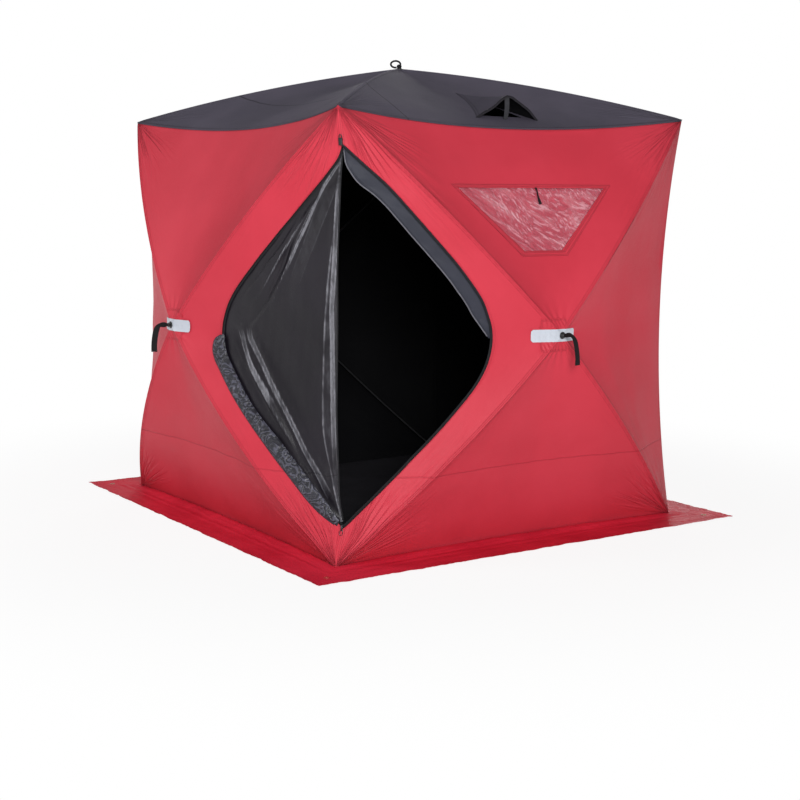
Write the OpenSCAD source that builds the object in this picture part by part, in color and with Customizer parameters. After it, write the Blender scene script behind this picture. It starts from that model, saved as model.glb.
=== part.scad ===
// Pop-up ice fishing hut: square fabric shelter on a hub-and-pole frame.
// Units mm, +Z up, origin at the centre of the footprint on the floor.
//
// Each wall is four cloth facets that meet at its hub: top, bottom and two sides. The roof is four
// more that meet at its own hub. A facet is a fan of bowed rows between the hub and one edge.
// Points of a wall are written in its local frame: a along the wall, o outwards, z up.
// Layers of cloth are the same surface at slightly different scales from the centre of the room.

/* [Overall size] */
// Side of the square footprint, corner to corner of the walls
base_width = 1800; // [1400:10:2400]
// Height of the four eave corners
eave_height = 1780; // [1400:10:2200]
// Rise of the roof's centre above the eave corners
roof_rise = 234; // [100:2:500]
// Width of the snow skirt lying on the floor
skirt_width = 198; // [120:2:300]

/* [Wall shape] */
// Height of the wall hubs as a share of the eave height
hub_share = 0.5; // [0.4:0.01:0.6]
// How far each wall hub stands out past the footprint
hub_popout = 262; // [160:2:340]
// Outward bow of the upper wall poles
bow_upper = 42; // [20:1:80]
// Outward bow of the lower wall poles
bow_lower = 60; // [20:1:90]
// Inward curve of the corner edges at mid height
corner_inset = 49; // [20:1:80]
// Inward curve of the eave at mid span
eave_inset = 90; // [40:1:130]
// Downward curve of the eave at mid span
eave_dip = 56; // [20:1:80]
// Inward curve of the wall foot at mid span
foot_inset = 22; // [5:1:40]
// Upward bow of the roof poles
roof_bow = 27; // [10:1:50]
// Thickness of the cloth as a share of its distance from the centre
cloth_share = 0.003; // [0.002:0.0005:0.005]
// Thickness of the floor sheet
floor_thick = 2.4; // [2:0.1:5]

/* [Frame] */
// Diameter of the fibreglass poles
pole_d = 9.5; // [7:0.5:13]
// Radius of the wall and roof hub discs
hub_r = 34; // [26:1:44]
// Thickness of the hub discs
hub_thick = 26; // [20:1:30]
// Depth of a hub disc's centre behind the cloth
hub_depth = 33; // [30:1:40]
// Radius of the ball fittings in the corners
ball_r = 18; // [14:1:22]
// Running gap between a pole's end and the fitting it sits in
pole_gap = 0.3; // [0.1:0.1:1]

/* [Openings] */
// Half width of the window at its top edge
window_top = 388; // [260:2:440]
// Half width of the window at its bottom edge
window_bottom = 100; // [60:2:140]
// Drop of the window top below the eave corners
window_drop = 302; // [260:2:360]
// Height of the window
window_height = 256; // [180:2:280]
// Width of the window binding
binding = 20; // [10:1:30]
// Half width of the roof vent mouth
vent_half = 150; // [100:2:180]
// Rise of the roof vent mouth
vent_rise = 98; // [60:2:120]
// Width of the strip that props a vent open
prop_width = 18; // [10:1:30]

/* [Trim] */
// Length of the reflective strip on each hub
strip_length = 210; // [150:2:260]
// Height of the reflective strip
strip_height = 50; // [30:2:60]
// Width of the pull straps
strap_width = 25; // [15:1:30]
// Thickness of the strap, prop and strip webbing
web_thick = 2.5; // [1.5:0.1:3.5]
// Bore radius of the skirt eyelets
eyelet_r = 5.5; // [4:0.5:7]
// Inset of the eyelets from the skirt corners
eyelet_inset = 88; // [60:2:110]

/* [Hidden] */
$fn = 40;
w = base_width / 2;
H = eave_height;
apex_height = H + roof_rise;
hz = H * hub_share;
ho = w + hub_popout;
C = [0, 0, hz];
kin = 1 - cloth_share;
rows_n = 8;
cols_n = 12;
coarse_ring = 12;
coarse_bar = 6;
eyelet_pos = w + skirt_width - eyelet_inset;
window_z = H - window_drop;

// outer and inner scale of each layer of cloth
shell_k = [1, kin];
pad_k = [1.0024, 1.0002];
tab_k = [0.9992, 0.997];
film_k = [0.9968, 0.9948];
zip_k = [0.9966, 0.9946];
cover_k = [0.9946, 0.9922];
flap_k = [0.9925, 0.9903];
roll_k = [1.003, 1.0018];
hood_k = [1, 1.0025];

FRONT = 0;
LEFT = 1;
BACK = 2;
RIGHT = 3;
WALLS = [0:3];

// door outline on a side facet: [height share on the corner edge, reach towards the corner]
DOOR = [[0, 1], [0.045, 1], [0.09, 1], [0.103, 0.875], [0.127, 0.717], [0.17, 0.55],
  [0.24, 0.44], [0.35, 0.36], [0.5, 0.335], [0.61, 0.35], [0.71, 0.385], [0.79, 0.44],
  [0.84, 0.5], [0.87, 0.6], [0.885, 0.74], [0.9, 0.87], [0.915, 1], [0.955, 1], [1, 1]];
// the part of that outline which the zip follows
ZIP = [for (i = [2:len(DOOR) - 3]) DOOR[i]];
// rolled edge of the door on the left wall: [outer reach, outer share, inner reach, inner share]
ROLL = [[0.33, 0.5, 0.37, 0.49], [0.288, 0.41, 0.4, 0.44], [0.293, 0.317, 0.46, 0.35],
  [0.325, 0.244, 0.53, 0.285], [0.416, 0.179, 0.6, 0.235], [0.566, 0.121, 0.7, 0.2],
  [0.713, 0.103, 0.79, 0.176], [0.851, 0.088, 0.89, 0.155], [0.937, 0.081, 0.96, 0.13],
  [0.985, 0.083, 0.99, 0.098]];
// how full the rolled edge is at each of those rows, and its greatest fullness as a scale
ROLL_FULL = [0.3, 0.75, 1, 1, 1, 1, 1, 0.9, 0.7, 0.35];
roll_full_k = 0.018;
// storm flap inside the front wall: [outer reach, outer share, inner reach, inner share]
FLAP = [[0.975, 0.921, 0.98, 0.893], [0.84, 0.909, 0.86, 0.872], [0.7, 0.893, 0.72, 0.826],
  [0.55, 0.867, 0.57, 0.772], [0.43, 0.8, 0.475, 0.7], [0.365, 0.7, 0.41, 0.62],
  [0.333, 0.56, 0.36, 0.53]];
// pull strap from its stud outwards and down: [along the wall, out from the hub, up from the hub]
STRAP = [[0, 15.6, 0], [2, 30, 3], [5, 48, 2], [10, 63, -6], [16, 74, -22], [22, 81, -45],
  [28, 86, -75], [33, 88, -104], [36, 88, -126]];
// snow skirt from the wall foot outwards: [distance from the foot, height]
PROFILE = [[0.5, 0.4], [10.5, 15], [24, 19], [42, 15], [60, 6], [90, 3],
  [skirt_width * 0.75, 3], [skirt_width, 3]];
// corners of a vent on its roof facet: [reach towards the eave, share along the eave]
vent_share = 0.53;
roof_spread = 1.72;
VENT_BACK = [0.47, 0.545];
VENT_LEFT = [0.87, vent_share - vent_half / w / roof_spread];
VENT_RIGHT = [0.885, vent_share + vent_half / w / roof_spread];
VENT_PEAK = [0.885, 0.535];
vent_hole_share = 0.7;

function unit(v) = v / norm(v);
function mix(p, q, f) = p * (1 - f) + q * f;
function arch(u) = 4 * u * (1 - u);
// how much of a pole's bow the cloth keeps between two poles
function fade(u) = 0.35 + 0.65 * pow(abs(2 * u - 1), 1.5);
// local point (a, o, z) of wall k in the room
function wl(p, k) = k == FRONT ? [p[0], -p[1], p[2]]
  : k == LEFT ? [-p[1], -p[0], p[2]]
  : k == BACK ? [-p[0], p[1], p[2]]
  : [p[1], p[0], p[2]];
// point p scaled from the centre of the room
function sc(p, k) = C + (p - C) * k;
function mirror_sign(k) = k % 2 == 0 ? 1 : -1;

// edges of the facets, by a share u or t along them
hub_l = [0, ho, hz];
apex_l = [0, 0, apex_height];
function eave_l(u) = [w * (2 * u - 1), w - eave_inset * arch(u), H - eave_dip * arch(u)];
function foot_l(u) = [w * (2 * u - 1), w - foot_inset * arch(u), 0];
function corner_l(t, sg) =
  [sg * (w - corner_inset * arch(t)), w - corner_inset * arch(t), H * t];
// surfaces, by a reach s from the hub and a share along the edge
function top_l(s, u) = mix(hub_l, eave_l(u), s) + [0, bow_upper * arch(s) * fade(u), 0];
function bot_l(s, u) = mix(hub_l, foot_l(u), s) + [0, bow_lower * arch(s) * fade(u), 0];
function side_l(s, t, sg) = mix(hub_l, corner_l(t, sg), s)
  + [0, mix(bow_lower, bow_upper, t) * arch(s) * fade(t), 0];
function roof_l(s, u) = mix(apex_l, eave_l(u), s) + [0, 0, roof_bow * arch(s) * fade(u)];

function reversed(faces) = [for (f = faces) [for (i = [len(f) - 1:-1:0]) f[i]]];

// closed sheet between two scales of a fan of rows; row 0 is one point
module fan(rows, k, flip) {
  n = len(rows);
  m = len(rows[1]) - 1;
  flat = concat([rows[0][0]], [for (i = [1:n - 1]) for (j = [0:m]) rows[i][j]]);
  q = len(flat);
  points = concat([for (p = flat) sc(p, k[0])], [for (p = flat) sc(p, k[1])]);
  function id(i, j) = i == 0 ? 0 : 1 + (i - 1) * (m + 1) + j;
  skin = concat(
    [for (j = [0:m - 1]) [0, id(1, j), id(1, j + 1)]],
    [for (i = [1:n - 2]) for (j = [0:m - 1]) each
      [[id(i, j), id(i + 1, j), id(i + 1, j + 1)], [id(i, j), id(i + 1, j + 1), id(i, j + 1)]]]);
  under = [for (f = skin) [f[2] + q, f[1] + q, f[0] + q]];
  rim = concat(
    [for (i = [0:n - 2]) [id(i + 1, 0), id(i, 0), id(i, 0) + q, id(i + 1, 0) + q]],
    [for (i = [0:n - 2]) [id(i, m), id(i + 1, m), id(i + 1, m) + q, id(i, m) + q]],
    [for (j = [0:m - 1])
      [id(n - 1, j + 1), id(n - 1, j), id(n - 1, j) + q, id(n - 1, j + 1) + q]]);
  faces = concat(skin, under, rim);
  polyhedron(points, flip ? reversed(faces) : faces, convexity = 6);
}
// closed sheet between two grids of points
module slab(top, low, flip = false) {
  n = len(top);
  m = len(top[0]);
  q = n * m;
  points = concat([for (r = top) for (p = r) p], [for (r = low) for (p = r) p]);
  function id(i, j) = i * m + j;
  function wall(a, b) = [[a, b, b + q], [a, b + q, a + q]];
  skin = [for (i = [0:n - 2]) for (j = [0:m - 2]) each
    [[id(i, j), id(i + 1, j), id(i + 1, j + 1)], [id(i, j), id(i + 1, j + 1), id(i, j + 1)]]];
  under = [for (f = skin) [f[2] + q, f[1] + q, f[0] + q]];
  rim = concat(
    [for (i = [0:n - 2]) each wall(id(i + 1, 0), id(i, 0))],
    [for (i = [0:n - 2]) each wall(id(i, m - 1), id(i + 1, m - 1))],
    [for (j = [0:m - 2]) each wall(id(n - 1, j + 1), id(n - 1, j))],
    [for (j = [0:m - 2]) each wall(id(0, j), id(0, j + 1))]);
  faces = concat(skin, under, rim);
  polyhedron(points, flip ? reversed(faces) : faces, convexity = 6);
}
module turned(k) {
  rotate([0, 0, [0, -90, 180, 90][k]]) children();
}

// ---- cloth facets ----
module top_facet(k, scales = shell_k) {
  fan([for (i = [0:rows_n]) [for (j = [0:cols_n]) wl(top_l(i / rows_n, j / cols_n), k)]],
    scales, false);
}
module bottom_facet(k) {
  fan([for (i = [0:rows_n]) [for (j = [0:cols_n]) wl(bot_l(i / rows_n, j / cols_n), k)]],
    shell_k, true);
}
module side_facet(k, sg) {
  fan([for (i = [0:rows_n]) [for (j = [0:cols_n]) wl(side_l(i / rows_n, j / cols_n, sg), k)]],
    shell_k, sg > 0);
}
module door_facet(k, sg) {
  fan([for (i = [0:rows_n]) [for (d = DOOR) wl(side_l(i / rows_n * d[1], d[0], sg), k)]],
    shell_k, sg > 0);
}
module roof_facet(k) {
  fan([for (i = [0:rows_n]) [for (j = [0:cols_n]) wl(roof_l(i / rows_n, j / cols_n), k)]],
    shell_k, true);
}
// inverted trapezoid of the window grown by g, pushed through wall k
module window_prism(g, k) {
  top_a = window_top + 1.6 * g;
  low_a = window_bottom + 0.9 * g;
  top_z = window_z + 0.6 * g;
  low_z = window_z - window_height - g;
  turned(k) translate([0, -w + 150, 0]) rotate([90, 0, 0]) linear_extrude(height = 500)
    polygon([[-top_a, top_z], [top_a, top_z], [low_a, low_z], [-low_a, low_z]]);
}
function vent_side(f, side) = mix(VENT_BACK, side < 0 ? VENT_LEFT : VENT_RIGHT, f);
module vent_prism(k) {
  middle = (VENT_BACK + VENT_LEFT + VENT_RIGHT) / 3;
  corners = [for (v = [VENT_BACK, VENT_LEFT, VENT_RIGHT])
    let (c = mix(middle, v, vent_hole_share)) roof_l(c[0], c[1])];
  turned(k) translate([0, 0, H - 120]) linear_extrude(height = 600)
    polygon([for (q = corners) [q[0], -q[1]]]);
}
module window_wall(k) {
  difference() {
    top_facet(k);
    window_prism(0, k);
  }
}
module vented_roof(k) {
  difference() {
    roof_facet(k);
    vent_prism(k);
  }
}
module wall_front_top() { color("firebrick") window_wall(FRONT); }
module wall_front_bottom() { color("firebrick") bottom_facet(FRONT); }
module wall_front_right() { color("firebrick") side_facet(FRONT, 1); }
module wall_front_door() { color("firebrick") door_facet(FRONT, -1); }
module wall_left_top() { color("firebrick") top_facet(LEFT); }
module wall_left_bottom() { color("firebrick") bottom_facet(LEFT); }
module wall_left_back() { color("firebrick") side_facet(LEFT, -1); }
module wall_left_door() { color("firebrick") door_facet(LEFT, 1); }
module wall_back_top() { color("firebrick") window_wall(BACK); }
module wall_back_bottom() { color("firebrick") bottom_facet(BACK); }
module wall_back_sides() { color("firebrick") for (sg = [1, -1]) side_facet(BACK, sg); }
module wall_right_top() { color("firebrick") top_facet(RIGHT); }
module wall_right_bottom() { color("firebrick") bottom_facet(RIGHT); }
module wall_right_sides() { color("firebrick") for (sg = [1, -1]) side_facet(RIGHT, sg); }
module roof_front() { color("dimgray") vented_roof(FRONT); }
module roof_left() { color("dimgray") roof_facet(LEFT); }
module roof_back() { color("dimgray") vented_roof(BACK); }
module roof_right() { color("dimgray") roof_facet(RIGHT); }

// ---- floor and snow skirt ----
// the roll of cloth at the wall foot flattens towards the corners
function roll_z(z, u) = z <= 3 ? z : 3 + (z - 3) * (0.25 + 0.75 * pow(arch(u), 0.5));
function skirt_l(d, z, u) =
  [(2 * u - 1) * (w + d), w + d - foot_inset * arch(u) * max(0, 1 - d / 120), z];
module skirt(k) {
  top = [for (p = PROFILE) [for (j = [0:cols_n]) let (u = j / cols_n)
    wl(skirt_l(p[0], roll_z(p[1], u), u), k)]];
  low = [for (p = PROFILE) [for (j = [0:cols_n]) wl(skirt_l(p[0], 0, j / cols_n), k)]];
  difference() {
    slab(top, low);
    for (end = [-1, 1]) translate(wl([end * eyelet_pos, eyelet_pos, -5], k))
      cylinder(r = eyelet_r + 3.7, h = 20);
  }
}
module skirt_front() { color("firebrick") skirt(FRONT); }
module skirt_left() { color("firebrick") skirt(LEFT); }
module skirt_back() { color("firebrick") skirt(BACK); }
module skirt_right() { color("firebrick") skirt(RIGHT); }
module floor_sheet() {
  edge = kin - 0.0005;
  color("black") linear_extrude(height = floor_thick)
    polygon([for (k = [FRONT, RIGHT, BACK, LEFT]) for (j = [0:cols_n - 1])
      let (p = wl(foot_l(j / cols_n), k)) [p[0] * edge, p[1] * edge]]);
}
// plated ring whose neck goes down through the skirt to the floor
module skirt_eyelets() {
  flange = 1.3;
  color("silver") for (x = [-1, 1], y = [-1, 1])
    translate([x * eyelet_pos, y * eyelet_pos, 0]) difference() {
      union() {
        cylinder(r = eyelet_r + 3.2, h = 3.3 + flange);
        translate([0, 0, 3.3]) cylinder(r = eyelet_r + 6.5, h = flange);
      }
      translate([0, 0, -1]) cylinder(r = eyelet_r, h = 8);
    }
}

// ---- frame ----
hub_c = [0, ho - hub_depth, hz];
apex_c = [0, 0, apex_height - hub_depth];
ball_inset = 26 + ball_r * 0.2;
function ball_c(top, sg) = [sg * (w - ball_inset), w - ball_inset, top ? H - 34 : ball_r + 6];
// pole on an arc from p to q, bowed towards n, stopped short by gp and gq at its ends
module pole(p, q, n, bow, gp, gq) {
  along = unit(q - p);
  span = norm(q - p);
  out = unit(n - along * (n * along));
  az = atan2(along[1], along[0]);
  el = asin(along[2]);
  ey = [-sin(az), cos(az), 0];
  ez = [-sin(el) * cos(az), -sin(el) * sin(az), cos(el)];
  R = (span * span / 4 + bow * bow) / (2 * bow);
  half_turn = asin(span / 2 / R);
  start = gq / R * 180 / PI;
  stop = gp / R * 180 / PI;
  translate(p) rotate([0, 0, az]) rotate([0, -el, 0]) rotate([atan2(out * ez, out * ey), 0, 0])
    translate([span / 2, -(R - bow), 0]) rotate([0, 0, 90 - half_turn + start])
      rotate_extrude(angle = 2 * half_turn - start - stop) translate([R, 0]) circle(d = pole_d);
}
module wall_poles(k) {
  color("dimgray") for (sg = [-1, 1], top = [false, true])
    pole(wl(hub_c, k), wl(ball_c(top, sg), k), wl([0, 1, 0], k), top ? bow_upper : bow_lower,
      hub_r + pole_gap, ball_r + pole_gap);
}
module poles_front() { wall_poles(FRONT); }
module poles_left() { wall_poles(LEFT); }
module poles_back() { wall_poles(BACK); }
module poles_right() { wall_poles(RIGHT); }
module poles_roof() {
  color("dimgray") for (k = WALLS)
    pole(apex_c, wl(ball_c(true, -1), k), [0, 0, 1], roof_bow,
      hub_r + pole_gap, ball_r + pole_gap);
}
// disc with a pin that meets the cloth, axis along +Z, cloth at z = 0
module hub_body() {
  pin_top = -4.8;
  pin_foot = hub_thick / 2 - hub_depth - 0.2;
  translate([0, 0, -hub_depth]) intersection() {
    cylinder(r = hub_r, h = hub_thick, center = true);
    sphere(r = hub_r, $fn = 48);
  }
  translate([0, 0, pin_foot]) cylinder(r = 3.5, h = pin_top - pin_foot);
}
// turns a child's +Z to the outward direction at the hub of wall k
module at_hub(k, out = 0) {
  turned(k) translate([0, -ho - out, hz]) rotate([90, 0, 0]) children();
}
module wall_hubs() { color("black") for (k = WALLS) at_hub(k) hub_body(); }
module roof_hub() { color("black") translate([0, 0, apex_height]) hub_body(); }
module corner_fittings() {
  color("black") for (k = WALLS, top = [false, true])
    translate(wl(ball_c(top, -1), k)) sphere(r = ball_r, $fn = 48);
}

// ---- reinforcement, reflective strip, stud and strap on every hub ----
backing_reach = 0.075;
strip_out = 3.1;
// pad following the four facets round the hub
module backing(k) {
  for (q = [0:3]) {
    rows = [for (i = [0:2]) [for (j = [0:4]) let (s = backing_reach * i / 2, u = j / 4)
      wl(q == 0 ? top_l(s, u) : q == 1 ? bot_l(s, u) : side_l(s, u, q == 2 ? -1 : 1), k)]];
    fan(rows, pad_k, q == 1 || q == 3);
  }
}
module hub_backings() { color("firebrick") for (k = WALLS) backing(k); }
// strips on the walls beside the door stand off centre, towards its corner
module hub_strips() {
  color("white") for (k = WALLS) {
    share = k % 2 == 0 ? 0.62 : 0.46;
    turned(k) translate([-strip_length * share, -ho - strip_out - web_thick, hz - strip_height / 2])
      cube([strip_length, web_thick, strip_height]);
  }
}
module strap_studs() {
  color("black") for (k = WALLS) at_hub(k, strip_out + web_thick + 0.1) {
    cylinder(r = 11, h = 4);
    translate([0, 0, 3.9]) cylinder(r = 6, h = 5);
  }
}
module strap(k) {
  half_width = strap_width / 2;
  half_thick = 1.5;
  n = len(STRAP);
  function tangent(i) = unit(STRAP[min(i + 1, n - 1)] - STRAP[max(i - 1, 0)]);
  // the width turns from upright at the stud to along the wall
  function across(i) =
    let (f = min(1, i / 4), v = [0.35 + 0.65 * f, -0.1, 1 - f], t = tangent(i))
    unit(v - t * (v * t));
  function point(i, side, off) =
    let (narrow = i == 0 ? 0.5 : i == 1 ? 0.75 : 1,
      b = STRAP[i] + across(i) * side * half_width * narrow + cross(tangent(i), across(i)) * off)
    wl([b[0] * mirror_sign(k), ho + b[1], hz + b[2]], k);
  slab([for (i = [0:n - 1]) [point(i, -1, half_thick), point(i, 1, half_thick)]],
    [for (i = [0:n - 1]) [point(i, -1, -half_thick), point(i, 1, -half_thick)]], k % 2 == 0);
}
module pull_straps() { color("black") for (k = WALLS) strap(k); }
module roof_loop() {
  color("black") translate([0, 0, apex_height + 0.1]) {
    translate([0, 0, 19]) rotate([90, 0, 35]) rotate_extrude($fn = coarse_ring)
      translate([16, 0]) circle(r = 3, $fn = coarse_bar);
    translate([0, 0, 0.2]) cylinder(r = 8, h = 3.4);
  }
}

// ---- roof vents: a peaked hood propped open towards the eave ----
function on_roof(v, k, scale) = sc(wl(roof_l(v[0], v[1]), k), scale);
function hood_peak(k) = on_roof(VENT_PEAK, k, 1) + [0, 0, vent_rise];
module hood(k) {
  foot_k = 1.0005;
  ridge_foot = on_roof(VENT_BACK, k, foot_k);
  rows = [for (i = [0:6])
    let (f = i / 6, ridge = mix(ridge_foot, hood_peak(k), f),
      left = on_roof(vent_side(f, -1), k, foot_k), right = on_roof(vent_side(f, 1), k, foot_k))
    [for (j = [0:6]) j < 3 ? mix(left, ridge, j / 3) : mix(ridge, right, (j - 3) / 3)]];
  fan(rows, hood_k, false);
}
module vent_hoods() { color("dimgray") for (k = [FRONT, BACK]) hood(k); }
module vent_props() {
  color("gray") for (k = [FRONT, BACK]) {
    foot = on_roof([0.89, 0.535], k, 1.0016);
    head = hood_peak(k) - [0, 0, 10];
    side = [mirror_sign(k / 2), 0, 0] * prop_width / 2;
    back = unit(cross(side, head + [0, 0, 8] - foot)) * web_thick;
    slab([[foot - side, foot + side], [head - side, head + side]],
      [[foot - side - back, foot + side - back], [head - side - back, head + side - back]], true);
  }
}

// ---- window layers ----
module window_layer(k, scales, grown, hole = false) {
  intersection() {
    top_facet(k, scales);
    difference() {
      window_prism(grown, k);
      if (hole) window_prism(0, k);
    }
  }
}
module window_films() { color("lightgray") for (k = [FRONT, BACK]) window_layer(k, film_k, 10); }
module window_covers() { color("firebrick") for (k = [FRONT, BACK]) window_layer(k, cover_k, 12); }
module window_bindings() {
  color("firebrick") for (k = [FRONT, BACK]) window_layer(k, pad_k, binding, true);
}
module cover_tabs() {
  tab_length = 67.5;
  color("black") for (k = [FRONT, BACK]) intersection() {
    top_facet(k, tab_k);
    turned(k) translate([40, -w - 400, window_z - 0.5 - tab_length]) cube([12, 700, tab_length]);
  }
}

// ---- corner door, unzipped and folded back to the left ----
function on_side(s, t, k, sg, scale) = sc(wl(side_l(s, t, sg), k), scale);
function strip_rows(table, k, sg, scale) = [for (r = table) [for (j = [0:4])
  on_side(mix(r[0], r[2], j / 4), mix(r[1], r[3], j / 4), k, sg, scale)]];
panel_thick_k = 0.0025;
function panel_k(f) = 0.9925 - 0.016 * f;
function panel_rows(drop) = [for (d = ZIP) let (s0 = min(d[1] - 0.012, 0.985))
  [for (j = [0:8]) on_side(mix(s0, 1, j / 8), d[0], LEFT, 1, panel_k(j / 8) - drop)]];
module door_panel() { color("dimgray") slab(panel_rows(0), panel_rows(panel_thick_k), true); }
module door_roll() {
  top = [for (i = [0:len(ROLL) - 1]) let (r = ROLL[i]) [for (j = [0:4])
    on_side(mix(r[0], r[2], j / 4), mix(r[1], r[3], j / 4), LEFT, 1,
      roll_k[0] + roll_full_k * ROLL_FULL[i] * arch((j + 0.4) / 4.8))]];
  color("dimgray") slab(top, strip_rows(ROLL, LEFT, 1, roll_k[1]));
}
module door_storm_flap() {
  color("slategray")
    slab(strip_rows(FLAP, FRONT, -1, flap_k[0]), strip_rows(FLAP, FRONT, -1, flap_k[1]), true);
}
// zip tape along the door outline of one wall, from just inside it to under the wall cloth
module zip_tape(k, sg) {
  edges = [-5, 11];
  n = len(ZIP);
  line = [for (z = ZIP) side_l(z[1], z[0], sg)];
  function tangent(i) = unit(line[min(i + 1, n - 1)] - line[max(i - 1, 0)]);
  function inward(i) = unit(cross(tangent(i), [0, 1, 0])) * -sg;
  function tape(scale) =
    [for (i = [0:n - 1]) [for (e = edges) sc(wl(line[i] + inward(i) * e, k), scale)]];
  slab(tape(zip_k[0]), tape(zip_k[1]), sg < 0);
}
module door_zips() {
  color("black") {
    zip_tape(FRONT, -1);
    zip_tape(LEFT, 1);
  }
}
// stands a child on the door's corner edge, its +X outwards, at share t and distance d
module on_corner(t, d) {
  c = corner_l(t, -1);
  tilt = -atan(corner_inset * 4 * (1 - 2 * t) / H * sqrt(2));
  translate([c[0], -c[1], c[2]]) rotate([0, 0, -135]) rotate([0, tilt, 0])
    translate([d, 0, 0]) children();
}
module pull_ring(r, bar_r) {
  rotate([90, 0, 0]) rotate_extrude($fn = coarse_ring)
    translate([r, 0]) circle(r = bar_r, $fn = coarse_bar);
}
module zip_slider() {
  color("dimgray") on_corner(0.088, 3.4) {
    translate([0, -4, -13]) cube([7, 8, 22]);
    translate([4, 0, -20]) pull_ring(7, 1.4);
  }
}
module door_toggle() {
  color("black") on_corner(0.925, 1.4) {
    translate([0, -8, -14]) cube([12, 16, 28]);
    translate([6, 0, 18]) pull_ring(6, 2.4);
  }
}

wall_front_top();
wall_front_bottom();
wall_front_right();
wall_front_door();
wall_left_top();
wall_left_bottom();
wall_left_back();
wall_left_door();
wall_back_top();
wall_back_bottom();
wall_back_sides();
wall_right_top();
wall_right_bottom();
wall_right_sides();
roof_front();
roof_left();
roof_back();
roof_right();
skirt_front();
skirt_left();
skirt_back();
skirt_right();
floor_sheet();
wall_hubs();
roof_hub();
poles_front();
poles_left();
poles_back();
poles_right();
poles_roof();
corner_fittings();
hub_backings();
hub_strips();
strap_studs();
pull_straps();
roof_loop();
vent_hoods();
vent_props();
window_films();
window_covers();
window_bindings();
cover_tabs();
door_panel();
door_roll();
door_storm_flap();
door_zips();
zip_slider();
door_toggle();
skirt_eyelets();
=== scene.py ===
"""Looks of the pop-up ice fishing hut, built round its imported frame.

Metres, +Z up, origin at the centre of the footprint on the floor. Each wall is four cloth facets
that meet at its hub, and the roof is four more. A point of a wall is written first in the wall's
own frame: a along the wall, o outwards, z up.
"""

import functools
import itertools
import logging
import math
from collections.abc import Callable, Sequence
from dataclasses import dataclass, field
from enum import Enum

import bmesh
import bpy
import numpy as np
from mathutils import Matrix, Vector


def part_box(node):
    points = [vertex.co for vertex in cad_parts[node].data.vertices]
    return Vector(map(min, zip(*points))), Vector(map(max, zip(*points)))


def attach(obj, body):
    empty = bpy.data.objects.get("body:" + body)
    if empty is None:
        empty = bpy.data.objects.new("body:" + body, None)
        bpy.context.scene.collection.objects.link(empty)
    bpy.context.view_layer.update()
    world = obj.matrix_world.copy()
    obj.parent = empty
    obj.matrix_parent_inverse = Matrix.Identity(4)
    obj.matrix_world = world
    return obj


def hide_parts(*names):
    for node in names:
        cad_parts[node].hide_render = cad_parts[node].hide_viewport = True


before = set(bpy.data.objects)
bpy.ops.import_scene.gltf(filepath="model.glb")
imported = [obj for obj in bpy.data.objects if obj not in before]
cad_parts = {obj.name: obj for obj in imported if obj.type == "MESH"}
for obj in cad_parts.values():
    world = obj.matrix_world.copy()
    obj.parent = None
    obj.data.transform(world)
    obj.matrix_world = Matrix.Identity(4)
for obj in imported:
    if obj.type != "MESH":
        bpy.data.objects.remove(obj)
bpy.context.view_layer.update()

Array = np.ndarray
Socket = bpy.types.NodeSocket
Material = bpy.types.Material
Triple = tuple[float, float, float]
Colour = tuple[float, float, float, float]
Solid = tuple[Array, list[tuple[int, ...]]]
Inward = Callable[[Array], Array]
Plane = tuple[Array, Array]
Number = "Value | float"
Rows = tuple[tuple[float, ...], ...]
LOG = logging.getLogger("ice_fishing_hut")
JOIN_HEIGHT = 0.35
ROOF_JOIN = -0.54
WHITE = (1.0, 1.0, 1.0, 1.0)
UP = np.array([0.0, 0.0, 1.0])
ASIDE = np.array([0.84, -0.54, 0.0])


# ---------------------------------------------------------------- shader graphs


class Value:
    """A number socket whose arithmetic adds Math nodes to its graph."""

    def __init__(self, graph: "Graph", socket: Socket) -> None:
        """Keeps the graph that the socket is in, and the socket."""
        self.graph = graph
        self.socket = socket

    def _math(self, operation: str, *operands: Number) -> "Value":
        """Adds a Math node."""
        made = self.graph.node("ShaderNodeMath", {"operation": operation}, dict(enumerate(operands)))
        return Value(self.graph, made.outputs[0])

    def __add__(self, other: Number) -> "Value":
        """The sum with another value."""
        return self._math("ADD", self, other)

    __radd__ = __add__

    def __sub__(self, other: Number) -> "Value":
        """This value less another."""
        return self._math("SUBTRACT", self, other)

    def __rsub__(self, other: float) -> "Value":
        """A number less this value."""
        return self._math("SUBTRACT", other, self)

    def __mul__(self, other: Number) -> "Value":
        """The product with another value."""
        return self._math("MULTIPLY", self, other)

    __rmul__ = __mul__

    def __truediv__(self, other: Number) -> "Value":
        """This value over another."""
        return self._math("DIVIDE", self, other)

    def __rtruediv__(self, other: float) -> "Value":
        """A number over this value."""
        return self._math("DIVIDE", other, self)

    def __abs__(self) -> "Value":
        """The value without its sign."""
        return self._math("ABSOLUTE", self)

    def sine(self) -> "Value":
        """The sine of the value, which is in radians."""
        return self._math("SINE", self)

    def larger(self, other: Number) -> "Value":
        """The larger of two values."""
        return self._math("MAXIMUM", self, other)

    def eased(self, low: float, high: float, start: float = 0.0, end: float = 1.0) -> "Value":
        """Turns a range into another with eased ends.

        Args:
            low: Where the input range starts.
            high: Where it ends; it may be below low.
            start: The result at low.
            end: The result at high.

        Returns:
            The eased value.
        """
        made = self.graph.node(
            "ShaderNodeMapRange",
            {"interpolation_type": "SMOOTHSTEP"},
            {0: self, 1: min(low, high), 2: max(low, high),
             3: start if low < high else end, 4: end if low < high else start},
        )
        return Value(self.graph, made.outputs[0])

    def line(self, centre: Number, half_width: float) -> "Value":
        """A soft line, 1 where the value is at the centre and 0 half a width away."""
        return abs(self - centre).eased(half_width, half_width * 0.35)


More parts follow.
